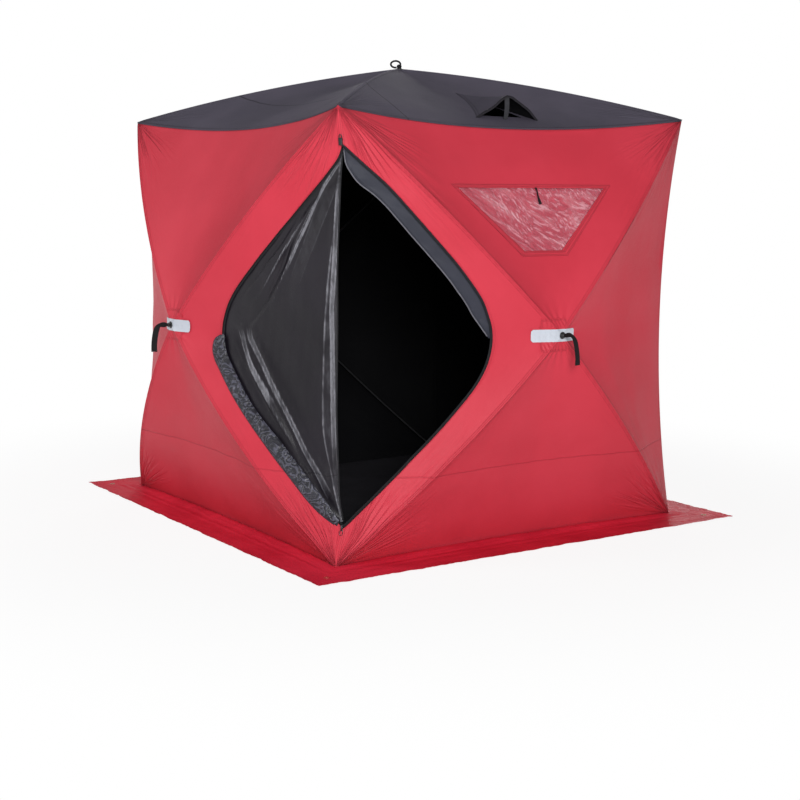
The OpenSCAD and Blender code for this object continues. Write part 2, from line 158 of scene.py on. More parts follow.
def toned(colour: Colour, factor: float, lift: float = 0.0) -> Colour:
    """A colour made paler or darker."""
    return tuple(min(1.0, part * factor + lift) for part in colour[:3]) + (1.0,)


class Graph:
    """The node tree of one material, or of the world."""

    def __init__(self, name: str, world: bool = False) -> None:
        """Makes an empty material or world of that name."""
        self.owner = (bpy.data.worlds if world else bpy.data.materials).new(name)
        self.owner.use_nodes = True
        self.tree = self.owner.node_tree
        self.tree.nodes.clear()

    def node(
        self,
        kind: str,
        settings: dict[str, object] | None = None,
        sockets: dict[int | str, object] | None = None,
    ) -> bpy.types.Node:
        """Adds a node.

        Args:
            kind: The node's type.
            settings: Its own properties.
            sockets: Values or links of its inputs, by name or by number.

        Returns:
            The node.
        """
        made = self.tree.nodes.new(kind)
        for key, setting in (settings or {}).items():
            setattr(made, key, setting)
        for key, given in (sockets or {}).items():
            target = made.inputs[key]
            given = given.socket if isinstance(given, Value) else given
            if isinstance(given, Socket):
                self.tree.links.new(given, target)
            else:
                target.default_value = given
        return made

    def place(self) -> tuple[Socket, "Value", "Value", "Value"]:
        """Where the surface is, in metres.

        Returns:
            The vector, and its x, y and z.
        """
        vector = self.node("ShaderNodeTexCoord").outputs["Object"]
        parts = self.node("ShaderNodeSeparateXYZ", None, {0: vector}).outputs
        return vector, Value(self, parts[0]), Value(self, parts[1]), Value(self, parts[2])

    def stretched(self, vector: Socket, turn: Triple, lengths: Triple) -> Socket:
        """Coordinates that stretch a texture along turned axes.

        Args:
            vector: The coordinates.
            turn: Angles of the axes about x, y and z, in degrees.
            lengths: How much longer the texture becomes along each turned axis.

        Returns:
            The new coordinates.
        """
        made = self.node(
            "ShaderNodeMapping", {"vector_type": "TEXTURE"},
            {"Vector": vector, "Rotation": tuple(math.radians(t) for t in turn), "Scale": lengths},
        )
        return made.outputs[0]

    def joined(self, x: Number, y: Number, z: Number) -> Socket:
        """A vector made of three numbers."""
        return self.node("ShaderNodeCombineXYZ", None, {0: x, 1: y, 2: z}).outputs[0]

    def noise(
        self, vector: Socket, size: float, detail: float = 2.0,
        rough: float = 0.5, twist: float = 0.0,
    ) -> Value:
        """Uneven values round a half.

        Args:
            vector: The coordinates.
            size: Size of the unevenness, in metres.
            detail: How many finer layers it has.
            rough: How strong the finer layers are.
            twist: How far it is distorted.

        Returns:
            The values.
        """
        made = self.node(
            "ShaderNodeTexNoise", None,
            {"Vector": vector, "Scale": 1.0 / size, "Detail": detail, "Roughness": rough,
             "Distortion": twist},
        )
        return Value(self, made.outputs[0])

    def attribute(self, name: str) -> Value:
        """A number that the mesh carries at its points."""
        return Value(self, self.node("ShaderNodeAttribute", {"attribute_name": name}).outputs["Fac"])

    def ray(self, name: str) -> Value:
        """1 for rays of that kind and 0 for others."""
        return Value(self, self.node("ShaderNodeLightPath").outputs[name])

    def blend(self, share: Number, first: object, second: object) -> Socket:
        """Mixes two colours."""
        settings = {"data_type": "RGBA", "clamp_factor": True}
        return self.node("ShaderNodeMix", settings, {0: share, 6: first, 7: second}).outputs[2]

    def bump(self, height: Value) -> Socket:
        """A normal bent by a height in metres."""
        return self.node("ShaderNodeBump", None, {"Distance": 1.0, "Height": height}).outputs[0]

    def finish(self, **sockets: object) -> Material:
        """Adds the shader and the output.

        Args:
            sockets: The shader's inputs, with _ for a space in a name.

        Returns:
            The material.
        """
        named = {key.replace("_", " "): given for key, given in sockets.items()}
        shader = self.node("ShaderNodeBsdfPrincipled", None, named)
        self.node("ShaderNodeOutputMaterial", None, {0: shader.outputs[0]})
        return self.owner


class Lie(Enum):
    """Which way a cloth's threads run."""

    UPRIGHT = "upright"
    FLAT = "flat"


@dataclass(frozen=True)
class ClothFinish:
    """Coated woven cloth with stitched seams, its sizes in metres."""

    name: str
    colour: Colour
    shade: Colour
    roughness: float = 0.5
    specular: float = 0.25
    thread: float = 0.0016
    lie: Lie = Lie.UPRIGHT
    crinkle_size: float = 0.018
    crinkle: float = 0.0003
    ripple: float = 0.0012
    creases: float = 0.0
    crease_turn: Triple = (0.0, 35.0, 0.0)
    stitch_rows: tuple[float, ...] = (0.0045, 0.0110)
    pucker: float = 0.0
    ridge_highlight: float = 0.0
    wear_and_highlight: Colour | None = None
    stitch_tone: float = 0.4
    join_tone: float = 0.28
    join_height: float | None = None
    join_across: float | None = None
    soiled: float = 0.05

    def _stitches(self, graph: Graph, run: Value) -> Value:
        """Rows of stitches beside the seams.

        Args:
            graph: The material's graph.
            run: Distance along the seams.

        Returns:
            1 on a stitch and 0 off it.
        """
        gap = graph.attribute("seam_gap")
        dash = (run * (math.tau / 0.0052)).sine().eased(-0.2, 0.3, 0.45, 1.0)
        rows = [gap.line(row, 0.0016) for row in self.stitch_rows]
        return functools.reduce(Value.larger, rows) * dash

    def _puckers_and_crease_shade(self, graph: Graph) -> tuple[Value, Value]:
        """Fine wrinkles that run beside the poles and across their seams.

        Args:
            graph: The material's graph.

        Returns:
            Their height in metres, and how much painted shade darkens their creases.
        """
        gap = graph.attribute("pole_gap")
        run = graph.attribute("pole_run")
        away = graph.attribute("corner_gap")
        lean = gap / (away + 0.004)
        along = graph.noise(graph.joined(gap * 60.0, run * 6.0, run * 0.5), 1.0, 2.0, 0.5, 0.3)
        across = graph.noise(graph.joined(gap * 14.0, run * 90.0, 3.0), 1.0, 1.0, 0.5)
        patchy = graph.noise(graph.joined(gap * 2.0, run * 3.0, 7.0), 1.0, 1.0, 0.5)
        spread = graph.noise(graph.joined(lean * 15.0, away * 2.2, run * 0.3), 1.0, 2.0, 0.55)
        outward = away.eased(1.0, 0.45)
        beside = gap.eased(0.13, 0.015) * patchy.eased(0.42, 0.60, 0.1, 1.0) * outward
        near = gap.eased(0.026, 0.002) * outward
        fan = away.eased(0.52, 0.10) * away.eased(0.0, 0.03) * lean.eased(0.62, 0.40)
        valley = abs(spread - 0.5)
        height = along * beside * (self.pucker * 0.5) + across * near * (self.pucker * 0.35)
        height = height + valley.eased(0.0, 0.10) * fan * (self.pucker * 0.40)
        # Painted shade: how much the creases beside the poles and the valleys of the fans are darkened.
        crease = along.line(0.5, 0.07) * beside * 0.35 + across.line(0.5, 0.05) * near * 0.4
        return height, crease + valley.eased(0.022, 0.004) * fan * 0.6

    def _joins(self, graph: Graph, across: Value, height: Value, uneven: Value) -> Value | None:
        """Seams where two widths of cloth are joined.

        Args:
            graph: The material's graph.
            across: The x coordinate.
            height: The z coordinate.
            uneven: Values that make the line wander.

        Returns:
            1 on a join and 0 off it, or None where the cloth has none.
        """
        wander = (uneven - 0.5) * 0.012
        if self.join_height is not None:
            return (height + wander).line(self.join_height, 0.0042)
        if self.join_across is not None:
            return (across + wander).line(self.join_across, 0.0045)
        return None

    def material(self) -> Material:
        """Makes the material.

        Returns:
            The cloth's material.
        """
        graph = Graph(self.name)
        vector, x, y, z = graph.place()
        broad = graph.noise(vector, 0.34, 3.0, 0.55)
        uneven = graph.noise(vector, 0.09, 3.0, 0.5)
        fine = graph.noise(vector, self.crinkle_size, 4.0, 0.6, 0.8)
        turn = math.tau / self.thread
        first, second = (x, y) if self.lie is Lie.FLAT else (x + y, z)
        weave = (first * turn).sine() * (second * turn).sine()
        stitches = self._stitches(graph, x + y * 0.8 + z)
        height = uneven * self.ripple + fine * self.crinkle + weave * (self.thread * 0.035)
        if self.creases:
            lean = graph.stretched(vector, self.crease_turn, (1.0, 1.0, 5.0))
            crease = abs(graph.noise(lean, 0.045, 3.0, 0.55, 1.2) - 0.5)
            height = height + crease.eased(0.0, 0.16) * self.creases
        height = height - stitches * 0.0009
        colour = graph.blend(broad.eased(0.3, 0.7), self.shade, self.colour)
        colour = graph.blend(fine.eased(0.55, 0.8) * self.soiled, colour, self.colour)
        dark = toned(self.shade, 0.45)
        colour = graph.blend(stitches * self.stitch_tone, colour, dark)
        if self.pucker:
            puckers, creases = self._puckers_and_crease_shade(graph)
            height = height + puckers
            # Painted shade: the puckers' creases are darkened towards the dark colour.
            colour = graph.blend(creases * 0.30, colour, dark)
        if self.ridge_highlight:
            # Painted highlight: the cloth turns paler beside the poles, along the ridges that catch the
            # light.
            edge = graph.attribute("pole_gap").eased(0.009, 0.002)
            colour = graph.blend(edge * self.ridge_highlight, colour, toned(self.colour, 1.8))
        if self.wear_and_highlight:
            # Painted highlight: where the mesh marks a fold's crest the cloth turns pale, in streaks and
            # lumps, standing in for the light that the crests catch.
            streaks = graph.noise(graph.stretched(vector, (0, 0, 0), (1, 1, 4)), 0.006, 3.0, 0.6)
            lumps = graph.noise(graph.stretched(vector, (0, 0, 0), (1, 1, 2)), 0.035)
            wear_and_highlight = graph.attribute("fold_crest") * lumps.eased(0.32, 0.58, 0.72, 1.2)
            crest = wear_and_highlight.eased(0.08, 0.80) * streaks.eased(0.25, 0.6, 0.45, 1.0)
            colour = graph.blend(crest, colour, self.wear_and_highlight)
        join = self._joins(graph, x, z, uneven)
        if join is not None:
            height = height - join * 0.0010
            colour = graph.blend(join * self.join_tone, colour, dark)
        rough = fine * 0.16 + (self.roughness - 0.08)
        return graph.finish(
            Base_Color=colour, Roughness=rough, Specular_IOR_Level=self.specular,
            Normal=graph.bump(height),
        )


@dataclass(frozen=True)
class GatheredFinish:
    """Thin cloth crumpled into swirling ridges."""

    name: str
    hollow: Colour
    ridge: Colour
    swirl: float = 0.050
    turns: float = 42.0

    def material(self) -> Material:
        """Makes the material: painted highlights on ridges that follow the contours of a noise,
        and painted shade in the hollows between them.

        Returns:
            The cloth's material.
        """
        graph = Graph(self.name)
        vector = graph.place()[0]
        broad = graph.noise(vector, self.swirl, 2.0, 0.45, 0.6)
        fine = graph.noise(vector, 0.006, 3.0, 0.6)
        lump = graph.noise(vector, 0.05)
        ridges = (broad * self.turns + fine * 0.5).sine()
        peak = ridges.eased(-0.1, 1.0)
        height = ridges * 0.0011 + fine * 0.0003 + lump * 0.004
        # Painted highlights on the ridges and the tops of the lumps, painted shade in the hollows.
        colour = graph.blend(peak * 0.65 + lump.eased(0.40, 0.80) * 0.15, self.hollow, self.ridge)
        return graph.finish(
            Base_Color=colour, Roughness=fine * 0.2 + 0.32, Specular_IOR_Level=0.5,
            Normal=graph.bump(height),
        )


@dataclass(frozen=True)
class WebbingFinish:
    """Narrow woven webbing or tape."""

    name: str
    colour: Colour
    rib: float = 0.0022
    roughness: float = 0.7
    specular: float = 0.2

    def material(self) -> Material:
        """Makes the material, with ribs across and a nap that shows wear."""
        graph = Graph(self.name)
        vector, x, y, z = graph.place()
        nap = graph.noise(vector, 0.0015, 3.0, 0.6)
        wear = graph.noise(vector, 0.02, 3.0, 0.6)
        ribs = ((x + y + z * 1.3) * (math.tau / self.rib)).sine()
        height = ribs * 0.00012 + nap * 0.00015
        wear_and_highlight = wear.eased(0.5, 0.8) * 0.4 + ribs.eased(0.2, 1.0) * 0.2
        colour = graph.blend(wear_and_highlight, self.colour, toned(self.colour, 1.9, 0.01))
        return graph.finish(
            Base_Color=colour, Roughness=nap * 0.1 + self.roughness,
            Specular_IOR_Level=self.specular, Normal=graph.bump(height),
        )


@dataclass(frozen=True)
class MouldedFinish:
    """Moulded plastic, drawn rod or painted metal."""

    name: str
    colour: Colour
    roughness: float = 0.45
    metallic: float = 0.0
    grain: float = 0.0012
    coat: float = 0.0

    def material(self) -> Material:
        """Makes the material, with a fine grain and a little handling wear."""
        graph = Graph(self.name)
        vector = graph.place()[0]
        grain = graph.noise(vector, self.grain)
        wear = graph.noise(vector, 0.03, 4.0, 0.62)
        pale = toned(self.colour, 1.6, 0.012)
        colour = graph.blend(wear.eased(0.52, 0.75) * 0.5, self.colour, pale)
        return graph.finish(
            Base_Color=colour, Roughness=wear * 0.2 + (self.roughness - 0.1),
            Metallic=self.metallic, Coat_Weight=self.coat, Normal=graph.bump(grain * 0.00004),
        )


@dataclass(frozen=True)
class FilmFinish:
    """Clear flexible film with creases that catch the light."""

    name: str
    tint: Colour
    crease_colour: Colour
    clearness: float = 0.42

    def material(self) -> Material:
        """Makes the material: clear between the creases, with painted highlights on them, and painted
        light and shade along its broad folds.
        """
        graph = Graph(self.name)
        vector = graph.place()[0]
        lean = graph.stretched(vector, (0.0, -27.0, 0.0), (1.0, 1.0, 34.0))
        shallow = graph.stretched(vector, (0.0, -58.0, 0.0), (1.0, 1.0, 26.0))
        fine = graph.noise(lean, 0.0085, 1.5, 0.5).eased(0.42, 0.68)
        long = graph.noise(shallow, 0.014, 1.5, 0.5).eased(0.45, 0.70)
        fold = graph.noise(shallow, 0.040)
        patch = graph.noise(vector, 0.12).eased(0.42, 0.58)
        creases = fine * (1.0 - patch) + long * patch
        # Painted highlights on the creases, and painted light on the raised sides of the broad folds.
        wear_and_highlight = creases * 0.55 + fold.eased(0.46, 0.66) * 0.45
        colour = graph.blend(wear_and_highlight, self.tint, self.crease_colour)
        # Painted shade: a darker line along the broad folds.
        colour = graph.blend(fold.line(0.44, 0.022) * 0.5, colour, toned(self.tint, 0.72))
        return graph.finish(
            Base_Color=colour, Roughness=creases * 0.12 + 0.22, Coat_Weight=0.1,
            Specular_IOR_Level=0.5, Alpha=(creases * 0.25 + (0.70 - self.clearness)),
            Normal=graph.bump(creases * 0.0010 + fold * 0.008),
        )


@dataclass(frozen=True)
class ReflectiveFinish:
    """White reflective tape with a faint honeycomb under its film."""

    name: str
    colour: Colour

    def material(self) -> Material:
        """Makes the material."""
        graph = Graph(self.name)
        vector = graph.place()[0]
        cells = graph.node("ShaderNodeTexVoronoi", {"feature": "DISTANCE_TO_EDGE"},
                           {"Vector": vector, "Scale": 420.0})
        edge = Value(graph, cells.outputs[0]).eased(0.12, 0.0)
        soil = graph.noise(vector, 0.025, 4.0, 0.6)
        soft = graph.noise(vector, 0.03)
        dull = soil.eased(0.5, 0.8) * 0.5 + edge * 0.15
        colour = graph.blend(dull, self.colour, toned(self.colour, 0.8))
        return graph.finish(
            Base_Color=colour, Roughness=soil * 0.2 + 0.3, Specular_IOR_Level=0.6,
            Normal=graph.bump(soft * 0.002 + edge * 0.00005),
        )


class Finishes:
    """Every finish of the hut, made once."""

    def __init__(self) -> None:
        """Makes the materials."""
        red = (0.60, 0.040, 0.066, 1.0)
        deep = (0.56, 0.034, 0.057, 1.0)
        black = (0.0065, 0.0065, 0.0075, 1.0)
        self.shell = ClothFinish(
            "shell_cloth", red, deep, specular=0.2, join_height=JOIN_HEIGHT, pucker=0.0100,
        ).material()
        self.lining = ClothFinish(
            "black_lining", (0.006, 0.006, 0.007, 1.0), (0.005, 0.005, 0.006, 1.0),
            roughness=0.75, specular=0.1,
        ).material()
        # The roof's paler hip ridges are a painted highlight.
        self.roof = ClothFinish(
            "roof_cloth", (0.094, 0.084, 0.114, 1.0), (0.076, 0.069, 0.094, 1.0),
            roughness=0.7, specular=0.15, lie=Lie.FLAT, join_across=ROOF_JOIN, pucker=0.0070,
            ridge_highlight=0.5, stitch_tone=0.75, join_tone=0.95,
        ).material()
        self.hood = ClothFinish(
            "hood_cloth", (0.068, 0.061, 0.083, 1.0), (0.050, 0.045, 0.062, 1.0),
            roughness=0.7, specular=0.15, lie=Lie.FLAT, stitch_rows=(0.004, 0.012),
            ridge_highlight=0.9, stitch_tone=0.9,
        ).material()
        self.skirt = ClothFinish(
            "skirt_cloth", (0.64, 0.022, 0.05, 1.0), (0.52, 0.014, 0.036, 1.0), specular=0.15,
            lie=Lie.FLAT, crinkle_size=0.016, crinkle=0.0006, ripple=0.0016,
            stitch_rows=(0.006, 0.012),
        ).material()
        self.pad = ClothFinish(
            "pad_cloth", (0.57, 0.034, 0.058, 1.0), (0.51, 0.028, 0.049, 1.0),
            crinkle_size=0.010, crinkle=0.0008, stitch_rows=(0.004, 0.009),
        ).material()
        self.binding = ClothFinish(
            "binding_cloth", red, deep, crinkle_size=0.008, crinkle=0.0008,
            stitch_rows=(0.0020, 0.0060), stitch_tone=0.65,
        ).material()
        self.cover = ClothFinish(
            "cover_cloth", (0.58, 0.035, 0.06, 1.0), (0.44, 0.018, 0.036, 1.0), creases=0.003,
            crease_turn=(0.0, -45.0, 0.0), crinkle=0.0006,
        ).material()
        # The door cloth's pale second colour is a painted highlight on the panel's fold crests.
        self.door = ClothFinish(
            "door_cloth", (0.0105, 0.0080, 0.0135, 1.0), (0.0065, 0.0050, 0.0085, 1.0),
            roughness=0.40, specular=0.38, crinkle_size=0.012, crinkle=0.0006, ripple=0.0018,
            stitch_rows=(0.004, 0.010), join_height=JOIN_HEIGHT, wear_and_highlight=(0.24, 0.24, 0.27, 1.0),
        ).material()
        self.roll = GatheredFinish(
            "door_cloth_gathered", (0.013, 0.013, 0.019, 1.0), (0.095, 0.095, 0.132, 1.0)
        ).material()
        self.flap = ClothFinish(
            "flap_cloth", (0.032, 0.034, 0.050, 1.0), (0.025, 0.027, 0.040, 1.0), roughness=0.5,
            specular=0.25, stitch_rows=(0.004, 0.009),
        ).material()
        self.floor = ClothFinish(
            "floor_cloth", (0.050, 0.048, 0.056, 1.0), (0.040, 0.038, 0.045, 1.0), roughness=0.6,
            specular=0.2, lie=Lie.FLAT, crinkle=0.0008, ripple=0.003,
        ).material()
        self.tape = ReflectiveFinish("reflective_tape", (0.55, 0.59, 0.66, 1.0)).material()
        self.webbing = WebbingFinish("black_webbing", black).material()
        self.grey_web = WebbingFinish("grey_webbing", (0.032, 0.032, 0.037, 1.0)).material()
        self.hem_web = WebbingFinish("hem_webbing", (0.13, 0.13, 0.15, 1.0)).material()
        self.zip_tape = WebbingFinish("zip_tape", (0.014, 0.014, 0.016, 1.0), rib=0.0012).material()
        self.zip_teeth = MouldedFinish(
            "zip_teeth", (0.05, 0.05, 0.055, 1.0), roughness=0.32, coat=0.2
        ).material()
        self.plastic = MouldedFinish("frame_plastic", black, roughness=0.42).material()
        self.rod = MouldedFinish(
            "pole_fibreglass", (0.012, 0.012, 0.014, 1.0), roughness=0.55, grain=0.003,
        ).material()
        self.metal = MouldedFinish(
            "zip_metal", (0.05, 0.05, 0.056, 1.0), roughness=0.3, metallic=0.8
        ).material()
        self.brass = MouldedFinish(
            "eyelet_brass", (0.80, 0.66, 0.46, 1.0), roughness=0.24, metallic=1.0
        ).material()
        self.film = FilmFinish("clear_film", (0.70, 0.16, 0.22, 1.0), (0.97, 0.54, 0.61, 1.0)).material()


# ---------------------------------------------------------------- shape of the hut


def linked(name: str, data: bpy.types.ID) -> bpy.types.Object:
    """An object in the scene, with that data."""
    made = bpy.data.objects.new(name, data)
    bpy.context.scene.collection.objects.link(made)
    return made


def arch(share: Array | float) -> Array | float:
    """A parabola that is 1 at a half and 0 at 0 and 1."""
    return 4.0 * share * (1.0 - share)


def fade(share: Array) -> Array:
    """How much of a pole's bow the cloth keeps between two poles."""
    return 0.35 + 0.65 * np.abs(2.0 * share - 1.0) ** 1.5


def eased(value: Array) -> Array:
    """Eases a value from 0 to 1, and holds it outside."""
    held = np.clip(value, 0.0, 1.0)
    return held * held * (3.0 - 2.0 * held)


def between(first: Array, second: Array, share: Array) -> Array:
    """Points part of the way from one to another."""
    return first * (1.0 - share[..., None]) + second * share[..., None]


def unit(vectors: Array) -> Array:
    """Vectors of length 1."""
    return vectors / np.maximum(np.linalg.norm(vectors, axis=-1, keepdims=True), 1e-9)


def wander(points: Array, size: float, start: float) -> Array:
    """Smooth unevenness between about -1 and 1, the same each time.

    Args:
        points: Places in metres.
        size: Size of its largest swells, in metres.
        start: Shifts the pattern.

    Returns:
        A value for each point.
    """
    golden = math.pi * (3.0 - math.sqrt(5.0))
    total = np.zeros(points.shape[:-1])
    weights = 0.0
    for step in range(7):
        turn = golden * step + start
        tilt = math.sin(1.7 * step + start * 2.3)
        flat = math.sqrt(1.0 - tilt * tilt)
        way = np.array([math.cos(turn) * flat, math.sin(turn) * flat, tilt])
        weight = 1.0 / (1.0 + 0.35 * step)
        phase = points @ way * (math.tau / size) * (0.8 + 0.33 * step)
        total += weight * np.sin(phase + start * (3.1 + step))
        weights += weight
    return total * 1.8 / weights


def smooth_line(points: Sequence[Sequence[float]], count: int) -> Array:
    """A smooth line through points.

    Args:
        points: The points, in order.
        count: How many points the line has.

    Returns:
        The line's points, evenly shared among the spans.
    """
    given = np.array(points, float)
    padded = np.vstack([2 * given[0] - given[1], given, 2 * given[-1] - given[-2]])
    at = np.linspace(0.0, len(given) - 1.0, count)
    span = np.minimum(at.astype(int), len(given) - 2)
    f = (at - span)[:, None]
    p0, p1, p2, p3 = (padded[span + i] for i in range(4))
    return 0.5 * (
        2 * p1 + (p2 - p0) * f + (2 * p0 - 5 * p1 + 4 * p2 - p3) * f**2
        + (3 * p1 - p0 - 3 * p2 + p3) * f**3
    )


class Wall(Enum):
    """The four walls, in turning order."""

    FRONT = 0
    LEFT = 1
    BACK = 2
    RIGHT = 3

    @property
    def word(self) -> str:
        """The wall's name in a node's name."""
        return self.name.lower()

    @property
    def hand(self) -> int:
        """1 on the front and back walls, -1 on the others, which are mirrored."""
        return 1 if self.value % 2 == 0 else -1

    @property
    def windowed(self) -> bool:
        """Whether it has a window, and a vent in the roof above."""
        return self.hand > 0

    @property
    def out(self) -> Array:
        """The wall's outward direction in the room."""
        return self.room([0.0, 1.0, 0.0])

    def room(self, local: Array | Sequence[float]) -> Array:
        """Turns points or directions of the wall's own frame into the room's.

        Args:
            local: Points as a, o, z.

        Returns:
            The points as x, y, z.
        """
        a, o, z = np.moveaxis(np.asarray(local, float), -1, 0)
        x, y = [(a, -o), (-o, -a), (-a, o), (o, a)][self.value]
        return np.stack([x, y, z], axis=-1)


class Part(Enum):
    """Which facet of a wall, or the roof's."""

    TOP = "top"
    BOTTOM = "bottom"
    LESS = "side towards lower a"
    MORE = "side towards higher a"
    ROOF = "roof"

    @property
    def upright(self) -> bool:
        """Whether the facet reaches from the hub to a corner."""
        return self in (Part.LESS, Part.MORE)


@dataclass(frozen=True)
class HutShape:
    """The surfaces of the hut's cloth, in metres."""

    half: float
    eave: float
    apex: float
    hub_out: float
    skirt: float
    hub_share: float = 0.5
    bow_upper: float = 0.042
    bow_lower: float = 0.060
    corner_inset: float = 0.049
    eave_inset: float = 0.090
    eave_dip: float = 0.056
    foot_inset: float = 0.022
    roof_bow: float = 0.027

    @classmethod
    def from_frame(cls) -> "HutShape":
        """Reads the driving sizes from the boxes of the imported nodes.

        Returns:
            The hut's shape.
        """
        pin_gap = 0.0048
        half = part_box("wall_front_bottom")[1].x
        return cls(
            half=half,
            eave=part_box("wall_left_top")[1].z,
            apex=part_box("roof_left")[1].z,
            hub_out=pin_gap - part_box("wall_hubs")[0].y,
            skirt=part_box("skirt_front")[1].x - half,
        )

    @property
    def hub_z(self) -> float:
        """Height of the wall hubs."""
        return self.eave * self.hub_share

    @property
    def middle(self) -> Array:
        """Centre of the room, from which layers of cloth are scaled."""
        return np.array([0.0, 0.0, self.hub_z])

    @property
    def eyelet(self) -> float:
        """Distance of the skirt's eyelets from the middle, along x and y."""
        low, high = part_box("skirt_eyelets")
        return (high.x - low.x) / 2.0 - 0.012

    def scaled(self, points: Array, scale: Array | float) -> Array:
        """Points scaled from the centre of the room."""
        factor = np.asarray(scale, float)
        factor = factor[..., None] if factor.ndim else factor
        return self.middle + (points - self.middle) * factor

    def lifted(self, points: Array, height: Array | float) -> Array:
        """Points moved away from the centre of the room by a height."""
        rise = np.asarray(height, float)
        rise = rise[..., None] if rise.ndim else rise
        return points + unit(points - self.middle) * rise

    @property
    def hub(self) -> Array:
        """A wall's hub in its own frame."""
        return np.array([0.0, self.hub_out, self.hub_z])

    def eave_line(self, u: Array) -> Array:
        """Points along the eave, by their share of it."""
        swell = arch(u)
        return np.stack([
            self.half * (2 * u - 1), self.half - self.eave_inset * swell,
            self.eave - self.eave_dip * swell], -1)

    def foot_line(self, u: Array) -> Array:
        """Points along the wall's foot, by their share of it."""
        return np.stack([self.half * (2 * u - 1), self.half - self.foot_inset * arch(u), 0 * u], -1)

    def corner_line(self, t: Array, sign: float) -> Array:
        """Points up a corner edge, by their share of the eave's height."""
        inset = self.half - self.corner_inset * arch(t)
        return np.stack([sign * inset, inset, self.eave * t], -1)

    def local(self, part: Part, s: Array, u: Array) -> Array:
        """A facet's points in the wall's own frame.

        Args:
            part: Which facet.
            s: Reach from the hub, from 0 to 1.
            u: Share along the facet's outer edge.

        Returns:
            The points as a, o, z.
        """
        bow = arch(s) * fade(u)
        if part is Part.ROOF:
            return between(UP * self.apex, self.eave_line(u), s) + UP * (self.roof_bow * bow)[..., None]
        if part is Part.TOP:
            edge, depth = self.eave_line(u), self.bow_upper * bow
        elif part is Part.BOTTOM:
            edge, depth = self.foot_line(u), self.bow_lower * bow
        else:
            edge = self.corner_line(u, -1.0 if part is Part.LESS else 1.0)
            depth = (self.bow_lower * (1 - u) + self.bow_upper * u) * bow
        return between(self.hub, edge, s) + np.array([0.0, 1.0, 0.0]) * depth[..., None]

    def over(self, a: Array, z: Array) -> Array:
        """Points of a wall's surface over a place seen square on.

        Args:
            a: Distance along the wall from its middle.
            z: Height.

        Returns:
            The surface's points as a, o, z.
        """
        rise, x = z - self.hub_z, a / self.half
        span = self.eave - self.hub_z - self.eave_dip
        root = np.sqrt(np.maximum(rise**2 - 4 * span * self.eave_dip * x**2, 0.0))
        s_top = np.maximum((rise + root) / (2 * span), 1e-6)
        s_low = np.maximum(-rise / self.hub_z, 1e-6)
        s_side, t = np.maximum(np.abs(x), 1e-6), 0.5 + 0 * x
        for _ in range(4):
            t = np.clip((self.hub_z + rise / s_side) / self.eave, 0.0, 1.0)
            s_side = np.maximum(np.abs(a) / (self.half - self.corner_inset * arch(t)), 1e-6)
        on_top = (rise > 0) & (np.abs(x) <= s_top)
        on_low = (rise < 0) & (np.abs(x) <= s_low)
        side = np.where(
            (a < 0)[..., None], self.local(Part.LESS, s_side, t), self.local(Part.MORE, s_side, t)
        )
        top = self.local(Part.TOP, s_top, np.clip(0.5 + 0.5 * x / s_top, 0, 1))
        low = self.local(Part.BOTTOM, s_low, np.clip(0.5 + 0.5 * x / s_low, 0, 1))
        found = np.where(on_top[..., None], top, np.where(on_low[..., None], low, side))
        return np.stack([a, found[..., 1], z], -1)


class DoorOutline:
    """The curved edge of the corner door on the two facets that meet at its corner."""

    FRONT = (
        (0.083, 1.0), (0.084, 0.95), (0.087, 0.884), (0.093, 0.837), (0.101, 0.788),
        (0.110, 0.738), (0.121, 0.69), (0.131, 0.641), (0.144, 0.593), (0.160, 0.545),
        (0.180, 0.5), (0.205, 0.454), (0.238, 0.412), (0.283, 0.378), (0.341, 0.353),
        (0.411, 0.337), (0.489, 0.33), (0.569, 0.336), (0.643, 0.354), (0.706, 0.377),
        (0.753, 0.41), (0.79, 0.45), (0.82, 0.492), (0.842, 0.537), (0.86, 0.585),
        (0.875, 0.631), (0.888, 0.676), (0.899, 0.721), (0.909, 0.766), (0.916, 0.812),
        (0.919, 0.863), (0.92, 0.91), (0.921, 0.955), (0.922, 1.0),
    )
    LEFT = (
        (0.088, 1.0), (0.095, 0.94), (0.103, 0.875), (0.127, 0.717), (0.17, 0.55), (0.24, 0.44),
        (0.35, 0.36), (0.44, 0.341), (0.521, 0.341), (0.599, 0.358), (0.666, 0.387),
        (0.717, 0.43), (0.752, 0.481), (0.779, 0.537), (0.801, 0.592), (0.818, 0.648),
        (0.832, 0.701), (0.843, 0.754), (0.854, 0.806), (0.864, 0.857), (0.873, 0.907),
        (0.883, 0.95), (0.895, 0.984), (0.912, 1.0),
    )

    @classmethod
    def opening(cls, wall: Wall, count: int) -> tuple[Array, Array]:
        """The edge of the opening, from its foot to its tip."""
        line = smooth_line(cls.FRONT if wall is Wall.FRONT else cls.LEFT, count)
        return line[:, 0], np.minimum(line[:, 1], 1.0)

    @classmethod
    def whole(cls, wall: Wall, count: int) -> tuple[Array, Array]:
        """The facet's edge from the floor to the eave, the opening included.

        Args:
            wall: The front or the left wall.
            count: How many points the opening has.

        Returns:
            Shares of the corner's height, and reaches towards the corner.
        """
        share, reach = cls.opening(wall, count)
        low = np.linspace(0.0, share[0], 9)[:-1]
        high = np.linspace(share[-1], 1.0, 9)[1:]
        return (np.concatenate([low, share, high]), np.concatenate([1 + 0 * low, reach, 1 + 0 * high]))


